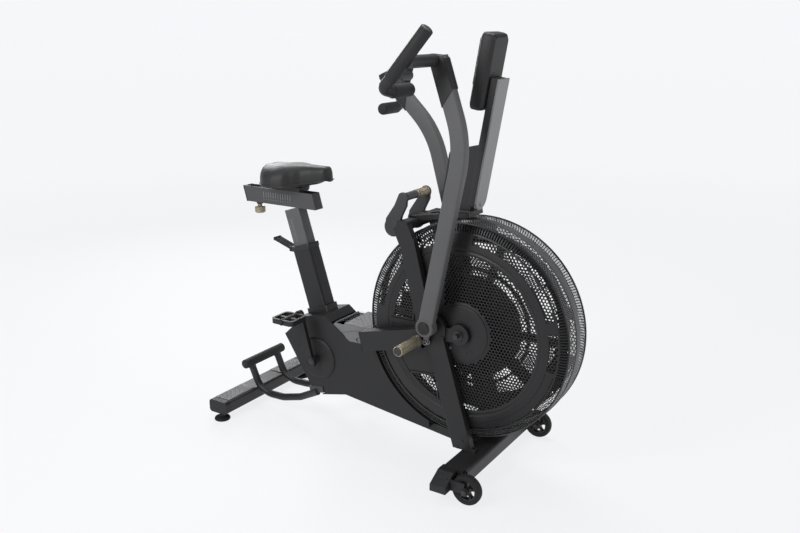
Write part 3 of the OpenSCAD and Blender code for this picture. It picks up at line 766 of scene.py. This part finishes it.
def make_arm(side):
    path = [on_arm(side, x, ARM_Y, z) for x, z in arm_centre()]
    body = "arm_" + side

    def turned(profile, centre, steps):
        return placed(lathe(profile, centre, "y", steps), lambda x, y, z: on_arm(side, x, y, z))

    boss = turned([(0, 133), (27, 133), (31, 135), (31, 163), (28, 166.5), (0, 166.5)], (0, 0, 0), 40)
    lever = sweep([on_arm(side, 0, 131.5, 0), on_arm(side, 0, 131.5, -ROD_DROP)], rounded_section(7, 18, 2))
    eye = turned([(5.2, 128), (10, 128), (10, 135), (5.2, 135)], (0, 0, -ROD_DROP), 32)
    parts = joined([sweep(path, rounded_section(30, 50, 6)), boss, lever, eye])
    add_piece("arm_tube_" + side, body, "grey_coat", *parts, "grey_coat", ("handle_arm_" + side,), bevel=0.8)
    cap = turned([(0, 164), (21, 164), (21, 168), (17, 171.5), (0, 171.5)], (0, 0, 0), 40)
    add_piece("arm_cap_" + side, body, "plastic", *cap, "plastic", bevel=0.6)


def make_handlebar(side):
    up = Vector((-math.sin(BEND), 0, math.cos(BEND)))
    out = Vector((math.cos(BEND), 0, math.sin(BEND)))
    top = Vector((ARM_TOP[0], ARM_Y, ARM_TOP[1]))

    def collar_ring(along, skew, grow=0.0):
        ring_points = []
        for y, d in rounded_section(35 + grow, 56 + grow, 8):
            p = top + up * (along + skew * d) + out * d
            ring_points.append(on_arm(side, p.x, p.y + y, p.z))
        return ring_points

    rows = [collar_ring(-118, 0.75), collar_ring(-70, 0.3), collar_ring(-20, 0), collar_ring(-4, -0.25),
            collar_ring(6, -0.4, -8), collar_ring(8, -0.42, -16)]
    verts = [p for row in rows for p in row]
    faces = bands(len(rows), len(rows[0])) + end_faces(len(rows), len(rows[0]))
    add_piece("arm_collar_" + side, "arm_" + side, "grip", verts, faces, "plastic", bevel=0.8)

    high, low = BAR_HIGH, BAR_LOW
    elbow = (ARM_TOP[0] - 6, ARM_TOP[1] - 10)
    cross = [(elbow[0], 160, elbow[1]), (elbow[0], 230, elbow[1]), (elbow[0] - 2, BAR_Y - 2, elbow[1])]
    cross = [on_arm(side, *p) for p in cross]
    slant = [on_arm(side, *high), on_arm(side, *low)]
    inward = [on_arm(side, low[0] + 20, BAR_Y, low[2] + 36), on_arm(side, low[0] - 3, BAR_Y - 1, low[2] - 5),
              on_arm(side, low[0] + 4, 262, low[2] - 12), on_arm(side, low[0] + 6, 244, low[2] - 12)]
    inward = filleted(inward, 26)
    frame_parts = joined([tube(cross, 18), tube(slant, BAR_R, dome=3), tube(inward, BAR_R)])
    add_piece("bar_" + side, "arm_" + side, "grip", *frame_parts, "plastic", ("handlebar_" + side,))
    start, end = Vector(on_arm(side, *high)), Vector(on_arm(side, *low))
    sleeve = [start + (end - start) * 0.005, start + (end - start) * 0.5, start + (end - start) * 0.86]
    fat = [Vector(on_arm(side, low[0] + 4, 268, low[2] - 12)),
           Vector(on_arm(side, low[0] + 6, 166, low[2] - 12))]
    grips = joined([tube(sleeve, 19, 32, dome=3), tube(fat, 20, 32, dome=8)])
    add_piece("bar_grips_" + side, "arm_" + side, "grip", *grips, "grip")


for arm_side in SIDES:
    make_arm(arm_side)
    make_handlebar(arm_side)

# ---- wheels, feet and base ----


WHEEL_R = 48
WHEEL_AT = (125, 262, WHEEL_R)
FOOT_AT = (-904, 233, 0)
YOKE_Y = 72
LIFT_BAR = (-900, 170)
# (x, z) points of the yoke's tubes, from the lift bar down and forward to the rail.
YOKE_PATH = ((LIFT_BAR[0], 166), (-862, 80), (-812, 61), (-745, 63), (-665, 84), (-585, 124))


def make_wheel(side):
    centre = (WHEEL_AT[0], SIDES[side] * WHEEL_AT[1], WHEEL_AT[2])
    tyre = lathe([(34, -12), (43, -12), (46.5, -10), (WHEEL_R, -5), (WHEEL_R, 5), (46.5, 10), (43, 12),
                  (34, 12), (33, 8), (33, -8)], centre, "y", 64)
    add_piece("tyre_" + side, "wheel_" + side, "rubber", *tyre, "rubber", ("wheel_" + side,))
    felly = [(29.5, -10), (34.3, -10.5), (34.3, 10.5), (29.5, 10), (28.5, 4), (28.5, -4)]
    hub = [(5.2, -12), (11, -12), (12.5, -10), (12.5, 10), (11, 12), (5.2, 12)]
    parts = [lathe(felly, centre, "y", 64), lathe(hub, centre, "y", 40)]
    for k in range(5):
        a = 2 * math.pi * k / 5 + 0.3
        c, s = math.cos(a), math.sin(a)
        path = [(centre[0] + r * c, centre[1], centre[2] + r * s) for r in (11, 16, 24, 30)]
        parts.append(sweep(path, rounded_section(15, 8, 2.5), scales=[1.25, 1, 0.95, 1.25]))
    add_piece("rim_" + side, "wheel_" + side, "rubber", *joined(parts), "gloss", bevel=0.5)


def make_foot(side):
    centre = (FOOT_AT[0], SIDES[side] * FOOT_AT[1], FOOT_AT[2])
    base = [(0, 0), (27, 0), (28.5, 2), (28.5, 6), (27, 8.5), (21, 11.5), (11, 13), (10, 14), (0, 14)]
    add_piece("foot_pad_" + side, "foot_" + side, "rubber", *lathe(base, centre, "z", 56), "rubber",
              ("levelling_foot_" + side,))
    nut = lathe([(4.8, 12), (9.8, 12), (9.8, 19), (4.8, 19)], centre, "z", 6)
    stem = lathe([(0, 12), (4.9, 12), (4.9, 51), (0, 51)], centre, "z", 24)
    add_piece("foot_stem_" + side, "foot_" + side, "rubber", *joined([nut, stem]), "bolt", bevel=0.4)


def make_yoke():
    parts = []
    for y in (-YOKE_Y, YOKE_Y):
        parts.append(tube(filleted([(x, y, z) for x, z in YOKE_PATH], 70, 8), 13, 24))
        parts.append(tube([(-894, y, 150), (-904, y, 174)], 14.5, 24))
    add_piece("yoke_tubes", "frame", "grip", *joined(parts), "coat", ("rear_yoke",))
    x, z = LIFT_BAR
    bar = tube([(x, -108, z), (x, 108, z)], 17, 32, dome=4)
    add_piece("lift_bar", "frame", "grip", *bar, "grip")
    plugs = []
    for s in (-1, 1):
        profile = [(0, 0), (12, 0), (12, s * 1.2), (9, s * 2.2), (0, s * 2.2)]
        plugs.append(lathe(profile, (x, s * 107.4, z), "y", 32))
    add_piece("lift_bar_plugs", "frame", "plastic", *joined(plugs), "plastic")


for base_side in SIDES:
    make_wheel(base_side)
    make_foot(base_side)
make_yoke()

# ---- foot pegs and rest lever ----


def knurled(path_start, path_end, radius):
    """A round grip with end caps and grooves near both ends."""
    a, b = Vector(path_start), Vector(path_end)
    length = (b - a).length
    inset = [0, 1.5, 1.6, 9, 9.6, 11.4, 12, length / 2]
    inset += [length - 12, length - 11.4, length - 9.6, length - 9, length - 1.5, length]
    sizes = [0.86, 0.99, 1, 1, 0.93, 0.93, 1, 1, 1, 0.93, 0.93, 1, 1, 0.86]
    path = [a + (b - a) * (s / length) for s in inset]
    side = (0, 0, 1) if abs((b - a).normalized().y) > 0.9 else (0, 1, 0)
    return sweep(path, round_section(radius, 40), side, sizes)


PEG_AT = (-132, 432)
PEG_ROOT = 135
PEG_TIP = 248


def make_pegs():
    x, z = PEG_AT
    parts, caps, plates = [], [], []
    for s in (-1, 1):
        parts.append(knurled((x, s * PEG_ROOT, z), (x, s * PEG_TIP, z), 17))
        cap = [(0, 0), (13.5, 0), (13.5, s * 1.5), (11, s * 2.4), (9.5, s * 1.2), (0, s * 1.2)]
        caps.append(lathe(cap, (x, s * PEG_TIP, z), "y", 32))
        flange = [(0, 0), (21, 0), (21, s * 2.4), (18.5, s * 4), (0, s * 4)]
        plates.append(lathe(flange, (x, s * 135.6, z), "y", 40))
    add_piece("peg_grips", "frame", "khaki", *joined(parts), "khaki", ("foot_pegs",), smooth=40)
    add_piece("peg_caps", "frame", "plastic", *joined(caps), "bolt")
    add_piece("peg_flanges", "frame", "plastic", *joined(plates), "bolt", bevel=0.5)


LEVER_BOSS = (-257, 773)
LEVER_TIP = (-221, 869)
LEVER_BAR = (-215, 873)


def lever_outline():
    """The lever from its boss up to the grip, as (x, z) points."""
    outline = arc(*LEVER_BOSS, 31, 150, 340, 26)
    outline += [(-228, 790), (-222, 812), (-205, 846)]
    outline += arc(*LEVER_TIP, 19, -30, 130, 12)
    outline += [(-250, 846), (-282, 800)]
    return outline


def make_lever():
    outline = lever_outline()
    near, far = plate(outline, -84, -72), plate(outline, 56, 68)
    add_piece("lever_plates", "rest_lever", "grey_coat", *joined([near, far]), "lever", ("rest_lever",),
              bevel=3.2, segments=3)
    (boss_x, boss_z), (bar_x, bar_z) = LEVER_BOSS, LEVER_BAR
    shaft = tube([(boss_x, -85, boss_z), (boss_x, 69, boss_z)], 9)
    rod = tube([(bar_x, -78, bar_z), (bar_x, 74, bar_z)], 8.6, dome=3)
    add_piece("lever_rods", "rest_lever", "steel", *joined([shaft, rod]), "steel")
    disc = [(0, -84), (27, -84), (27, -85.5), (24, -86.2), (0, -86.2)]
    add_piece("lever_disc", "rest_lever", "plastic", *lathe(disc, (boss_x, 0, boss_z), "y", 40), "bolt")
    grip = knurled((bar_x, -16, bar_z), (bar_x, 54.8, bar_z), 14)
    add_piece("lever_grip", "rest_lever", "khaki", *grip, "khaki", ("rest_grip",), smooth=40)
    sleeve = tube([(bar_x, -72, bar_z), (bar_x, -17, bar_z)], 13, 28)
    add_piece("lever_sleeve", "rest_lever", "grey_coat", *sleeve, "lever")


make_pegs()
make_lever()

# ---- saddle ----

SADDLE_Z = 851
SADDLE_REAR = -836
SADDLE_LEN = 282
SADDLE_ROWS = 28
# Half the saddle's width at stations from 0 at the back to 1 at the nose.
SADDLE_WIDTHS = ((0, 30), (0.04, 62), (0.1, 88), (0.2, 103), (0.32, 106), (0.45, 95), (0.56, 72),
                 (0.66, 52), (0.78, 39), (0.9, 32), (0.97, 24), (1.0, 10))


def saddle_half_width(t):
    for (t0, w0), (t1, w1) in zip(SADDLE_WIDTHS, SADDLE_WIDTHS[1:]):
        if t <= t1:
            s = (t - t0) / (t1 - t0)
            return w0 + (w1 - w0) * (s * s * (3 - 2 * s) * 0.4 + s * 0.6)
    return SADDLE_WIDTHS[-1][1]


def saddle_lift(t):
    """How far the lower edge rises towards the nose."""
    return 26 * max(0.0, (t - 0.4) / 0.6) ** 1.2


def saddle_cover():
    """The crowned cover with its shallow channel along the middle."""
    rows, cols = SADDLE_ROWS, 28
    verts, faces = [], []
    for i in range(rows + 1):
        t = i / rows
        at_end = i in (0, rows)
        x = SADDLE_REAR + 3 + (SADDLE_LEN - 6) * t
        half = saddle_half_width(t)
        height = 71 - 3 * t - 3 * math.sin(math.pi * t)
        for k in range(cols):
            a = 2 * math.pi * k / cols
            c, s = math.cos(a), math.sin(a)
            y = half * math.copysign(abs(c) ** 0.72, c)
            lift = saddle_lift(t)
            if s >= 0:
                z = lift + (height - lift) * s ** 0.6
                z -= s * math.exp(-(y / 11) ** 2) * 7 * max(0, 1 - abs(2 * t - 0.9) ** 3)
            else:
                z = lift + 5 * s
            verts.append((x, y * (0.8 if at_end else 1), SADDLE_Z + 5.5 + z * (0.55 if at_end else 1)))
    for i in range(rows):
        for k in range(cols):
            m = (k + 1) % cols
            faces.append((i * cols + k, (i + 1) * cols + k, (i + 1) * cols + m, i * cols + m))
    faces.append(tuple(range(cols)))
    faces.append(tuple(reversed(range(rows * cols, (rows + 1) * cols))))
    return verts, faces


def inflate(piece, cap):
    """Swells a padded piece by cloth pressure, with each point's travel capped, and leaves a plain mesh."""
    scene = bpy.context.scene
    start = [v.co.copy() for v in piece.data.vertices]
    cloth = piece.modifiers.new("cloth", "CLOTH")
    cloth.settings.use_pressure = True
    cloth.settings.uniform_pressure_force = 4
    cloth.settings.effector_weights.gravity = 0
    cloth.settings.tension_stiffness = 30
    cloth.settings.compression_stiffness = 30
    cloth.settings.bending_stiffness = 2
    for step in range(1, 21):
        scene.frame_set(step)
    graph = bpy.context.evaluated_depsgraph_get()
    swollen = [v.co.copy() for v in piece.evaluated_get(graph).data.vertices]
    piece.modifiers.remove(cloth)
    scene.frame_set(1)
    for vertex, before, after in zip(piece.data.vertices, start, swollen):
        move = after - before
        if move.length > cap * MM:
            move *= cap * MM / move.length
        vertex.co = before + move


def make_saddle():
    verts, faces = saddle_cover()
    cushion = add_piece("saddle_cover", "seat_slider", "saddle", verts, faces, "saddle",
                        ("saddle_cushion",), smooth=60)
    inflate(cushion, 5)
    # The cover stays within a few millimetres of the box of its CAD solid.
    low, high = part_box("saddle_cushion")
    for vertex in cushion.data.vertices:
        for axis, room in enumerate((0.009, 0.009, 0.0085)):
            vertex.co[axis] = min(max(vertex.co[axis], low[axis] - room), high[axis] + 0.002)
    smooth = cushion.modifiers.new("smooth", "SUBSURF")
    smooth.levels = smooth.render_levels = 2
    seam = []
    stations = [i / SADDLE_ROWS for i in range(SADDLE_ROWS + 1)]
    for sign, run in ((1, stations), (-1, stations[::-1])):
        for t in run:
            x = SADDLE_REAR + 1 + (SADDLE_LEN - 2) * t
            seam.append((x, sign * (saddle_half_width(t) + 0.4), SADDLE_Z + 7 + saddle_lift(t)))
    seam.append(seam[0])
    bead = sweep(seam, round_section(1.3, 8), (0, 0, 1))
    add_piece("saddle_seam", "seat_slider", "saddle", *bead, "saddle")


make_saddle()

# ---- console and mast ----

MAST_FOOT = (-6, 846)
MAST_LEAN = math.radians(10)
MAST_HALF = 36
MAST_T = 15
MAST_LEN = 404


def on_mast(a, y, s):
    """A point of the mast's own frame, a square to its front face and s up along it."""
    return (MAST_FOOT[0] + a * math.cos(MAST_LEAN) + s * math.sin(MAST_LEAN), y,
            MAST_FOOT[1] - a * math.sin(MAST_LEAN) + s * math.cos(MAST_LEAN))


def make_mast():
    front = arc(0, MAST_HALF, MAST_HALF, 180, 360, 24) + [(MAST_HALF, MAST_LEN), (-MAST_HALF, MAST_LEN)]
    inner, top = MAST_HALF - 4, MAST_LEN - 1
    body = [(-inner, 14), (inner, 14), (inner, top), (-inner, top)]
    gusset = [(-10, -8), (-60, -16), (-118, 24), (-118, 146)]
    gusset += [(-102 - 16 * math.cos(t), 146 + 16 * math.sin(t)) for t in (0.4, 0.8, 1.2)] + [(-10, 204)]
    face = prism(front, lambda y, s: on_mast(9, y, s), lambda y, s: on_mast(MAST_T, y, s))
    # The front plate is paler than the body: partly its own coat, partly a painted highlight of the front
    # light.
    add_piece("mast_front", "frame", "coat", *face, "mast", bevel=2.4, segments=3)
    parts = [
        prism(body, lambda y, s: on_mast(-MAST_T, y, s), lambda y, s: on_mast(9.5, y, s)),
        prism(gusset, lambda a, s: on_mast(a, -12, s), lambda a, s: on_mast(a, 12, s)),
        block((-72, -34, 830), (-4, 34, 844)),
    ]
    add_piece("mast_body", "frame", "coat", *joined(parts), "coat", ("console_mast",), bevel=3, segments=3)
    add_piece("mast_bolts", "frame", "steel", *bolt(on_mast(MAST_T - 0.3, 0, 20), 6, "x", 1, 3.5), "steel")


SCREEN_UP = 138


def console_slab(section, low, high, y=0, s=0):
    """A section square to the mast, with its middle at (y, s), between two depths."""
    return prism(section, lambda u, v: on_mast(low, y + u, s + v), lambda u, v: on_mast(high, y + u, s + v))


def make_console():
    low, up = -MAST_T - 0.3, 302
    deep, half, tall = 46, 52, 224
    rings_at = ((-deep, 7), (-deep + 5, 1), (-deep + 9, 0), (-18, 0), (-8, 2), (0, 10))
    verts = []
    for a, inset in rings_at:
        outline = rounded_section(2 * (half - inset), tall - 2 * inset, 14, 5)
        verts += [on_mast(low + a, y, up + tall / 2 + s) for y, s in outline]
    faces = bands(len(rings_at), len(outline)) + end_faces(len(rings_at), len(outline))
    add_piece("console_shell", "frame", "plastic", verts, faces, "plastic", ("console",), bevel=1.2)
    dots = []
    for row in range(4):
        for col in range(7):
            at = on_mast(low - 0.4, -38 + 5 * col + 2.5 * (row % 2), up + 112 + 4.4 * row)
            dots.append(lathe([(0, 0), (1.5, 0), (1.5, 1.0), (0, 1.0)], at, "x", 10))
    add_piece("console_vent", "frame", "plastic", *joined(dots), "keys")
    face = low - deep
    bezel = console_slab(rounded_section(92, 140, 8, 5), face - 1.5, face + 4, s=up + SCREEN_UP)
    add_piece("console_bezel", "frame", "plastic", *bezel, "gloss", bevel=0.8)
    glass = console_slab(rounded_section(80, 126, 5, 4), face - 2.4, face, s=up + SCREEN_UP)
    add_piece("console_glass", "frame", "screen", *glass, "screen", ("console_screen",))
    keys = []
    for row in range(2):
        for col in range(4):
            key = rounded_section(16, 12, 4, 4)
            keys.append(console_slab(key, face - 2, face + 4, -33 + 22 * col, up + 22 + 20 * row))
    add_piece("console_keys", "frame", "plastic", *joined(keys), "keys", bevel=0.6)


make_mast()
make_console()

# ---- seat marks and small parts ----

SEAT_FOOT = (-560, 258)
SEAT_LEAN = math.radians(17.5)


def on_seat(a, y, s):
    """A point of the seat tube's own frame, a forward and s up along it."""
    return (SEAT_FOOT[0] + a * math.cos(SEAT_LEAN) - s * math.sin(SEAT_LEAN), y,
            SEAT_FOOT[1] + a * math.sin(SEAT_LEAN) + s * math.cos(SEAT_LEAN))


POST_FACE = -22.9
BEAM_MARK = (-22.6, -21.5)
KNOB_AT = (-884, 0, 0)


def seat_patch(a, s, wide, tall):
    """A thin mark on the right face of the seat post."""
    left, right, low, high = a - wide / 2, a + wide / 2, s - tall / 2, s + tall / 2
    outline = [(left, low), (right, low), (right, high), (left, high)]
    return prism(outline, lambda u, v: on_seat(u, POST_FACE, v), lambda u, v: on_seat(u, POST_FACE - 0.5, v))


def make_seat_marks():
    marks = []
    for i in range(13):
        s = 420 + 6.5 * i
        marks.append(seat_patch(-12, s, 13 if i % 2 == 0 else 9, 1.8))
        marks.append(seat_patch(-24, s, 3, 2.6))
    add_piece("post_scale", "seat_post", "tread", *joined(marks), "mark")
    slots = []
    out, inside = BEAM_MARK
    for i in range(12):
        x = -846 + 11 * i
        slots.append(block((x, out, 796), (x + 2.2, inside, 816)))
        slots.append(block((x, out, 788), (x + 2.6, inside, 791)))
    add_piece("beam_scale", "seat_post", "tread", *joined(slots), "mark")
    plug = plate([(-944, 829), (-934, 831), (-918, 774), (-928, 772)], -21, 21)
    add_piece("beam_plug", "seat_post", "plastic", *plug, "plastic", bevel=1.5)


def make_knob():
    head = [(0, 733), (16, 733), (19, 736), (19, 753), (16, 757), (8, 758), (8, 764), (0, 764)]
    add_piece("knob_head", "seat_knob", "khaki", *lathe(head, KNOB_AT, "z", 40), "khaki", ("seat_knob",))
    stem = [(0, 760), (6, 760), (6, 794), (0, 794)]
    add_piece("knob_stem", "seat_knob", "steel", *lathe(stem, KNOB_AT, "z", 28), "steel")
    collar = [(6.4, 766), (12, 766), (12, 774), (6.4, 774)]
    add_piece("knob_collar", "seat_post", "plastic", *lathe(collar, KNOB_AT, "z", 32), "plastic")


def make_saddle_rails():
    """Two bent rails, the clamp on the slider and the wire hook under the nose."""
    parts = [block((-768, -26, 846.2), (-692, 26, 853))]
    for y in (-23, 23):
        path = [(-812, y, 858), (-790, y, 851), (-690, y, 851), (-640, y * 0.8, 862), (-606, y * 0.6, 872)]
        parts.append(tube(filleted(path, 20, 6), 4.4, 16))
    add_piece("saddle_rails", "seat_slider", "plastic", *joined(parts), "plastic", ("saddle_pan",), bevel=0.8)
    hook = [(-662, -20, 862), (-656, -26, 846), (-642, -27, 843), (-634, -26, 852), (-640, -22, 866)]
    add_piece("saddle_hook", "seat_slider", "plastic", *tube(filleted(hook, 8, 5), 2.4, 12), "bolt")


BUMP_PITCH = 11
# The corners of a bump and the ends of its ridge, as (along, across, up).
LOZENGE = ((-4.2, 0, 0), (0, -1.5, 0), (4.2, 0, 0), (0, 1.5, 0), (-1.6, 0, 1.0), (1.6, 0, 1.0))
TREAD_Y = (96, 212)
STEP_PATCH = (-494, -362, -62, 62, 409)


def tread_bumps(x_from, x_to, y_from, y_to, z):
    """Raised lozenges, turned left and right in turn, over a flat patch."""
    parts = []
    for i in range(int((x_to - x_from) / BUMP_PITCH)):
        for j in range(int((y_to - y_from) / BUMP_PITCH)):
            x, y = x_from + BUMP_PITCH * (i + 0.5), y_from + BUMP_PITCH * (j + 0.5)
            turn = math.pi / 4 if (i + j) % 2 else -math.pi / 4
            c, t = math.cos(turn), math.sin(turn)
            verts = []
            for u, v, h in LOZENGE:
                verts.append((x + u * c - v * t, y + u * t + v * c, z + h - 0.1))
            parts.append((verts, [(0, 1, 5, 4), (1, 2, 5), (2, 3, 4, 5), (3, 0, 4), (3, 2, 1, 0)]))
    return parts


def make_treads():
    box_low, box_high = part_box("rear_treads")
    z = box_high[2] / MM
    x0, x1 = box_low[0] / MM + 3, box_high[0] / MM - 3
    parts = []
    for s in (-1, 1):
        y0, y1 = sorted((s * TREAD_Y[0], s * TREAD_Y[1]))
        parts += tread_bumps(x0, x1, y0, y1, z)
    add_piece("tread_bumps", "frame", "tread", *joined(parts), "tread")
    add_piece("step_bumps", "frame", "tread", *joined(tread_bumps(*STEP_PATCH)), "tread")


def make_step_cover():
    """Panels that close the drive between the step and the covers."""
    side = [(-566, 300), (-548, 362), (-500, 400), (-356, 400), (-350, 300), (-430, 250)]
    inside, outside = 66.4, 69.6
    back = [(-548, 360), (-546, 365), (-500, 405), (-497, 401)]
    parts = [plate(side, -outside, -inside), plate(side, inside, outside), plate(back, -66.5, 66.5)]
    add_piece("step_panels", "frame", "tread", *joined(parts), "tread", bevel=0.8)


def make_fasteners():
    """The bolts of the fan axle, the hub covers, the wheels and the side frames."""
    heads = []
    circle = 60
    for s in (-1, 1):
        heads.append(bolt((0, s * 90.5, FAN_Z), 11, "y", s, 5))
        for turn in (60, 180, 300):
            a = math.radians(turn)
            at = (circle * math.cos(a), s * 89.0, FAN_Z + circle * math.sin(a))
            heads.append(bolt(at, 4.2, "y", s, 2.4))
        heads.append(bolt((WHEEL_AT[0], s * 274.6, WHEEL_AT[2]), 8, "y", s, 4))
        for x, z in ((-20, 425), (-52, 452), (10, 92), (26, 120)):
            heads.append(bolt((x, s * 115.6, z), 5, "y", s, 3))
    add_piece("frame_bolts", "frame", "plastic", *joined(heads), "bolt")


def make_rotor_disc():
    profile = [(20, -4), (150, -2), (165, -2), (165, 2), (150, 2), (20, 4)]
    disc = lathe(profile, (0, 0, FAN_Z), "y", 72)
    add_piece("rotor_disc", "fan", "grey_coat", *disc, "rotor")


make_seat_marks()
make_knob()
make_saddle_rails()
make_step_cover()
make_treads()
make_fasteners()
make_rotor_disc()

# ---- carried-over nodes: (node, width of its rounded edges) under each material ----

POLISH = {
    "coat": [("rear_stabilizer", 1), ("front_stabilizer", 1), ("frame_spine", 0), ("main_rail", 4),
             ("seat_tube", 1.2), ("side_frame_right", 3), ("side_frame_left", 3), ("top_bridge", 0),
             ("crank_arm_right", 2.5), ("crank_arm_left", 2.5)],
    "lever": [("seat_beam", 2)],
    "guard": [("hub_covers", 1)],
    "grey_coat": [("seat_post", 0.6), ("drive_pulley", 1)],
    "plastic": [("rear_end_caps", 3), ("front_end_caps", 3), ("rod_cover_right", 7), ("rod_cover_left", 7),
                ("shroud_right", 7), ("shroud_left", 7), ("crank_discs", 1), ("pedal_right", 1.5),
                ("pedal_left", 1.5), ("seat_latch", 1.5), ("seat_slider", 3)],
    "rubber": [("fan_belt", 0), ("drive_belt", 0)],
    "bolt": [("wheel_axles", 1), ("arm_pivots", 1), ("fan_axle", 1), ("crank_axle", 1)],
    "steel": [("fan_pulley", 0.5), ("jack_shaft", 0.5), ("crank_bearings", 0.5),
              ("connecting_rod_right", 1), ("connecting_rod_left", 1)],
    "tread": [("rear_treads", 0.5), ("step_housing", 2.5)],
    "rotor": [("fan_rotor", 0)],
}
for surface, names in POLISH.items():
    for node_name, rounding_width in names:
        polish(node_name, surface, rounding_width, 3 if rounding_width > 2.4 else 2)

for covered in ("top_bridge", "step_housing"):
    draw_in(covered, 0.5)
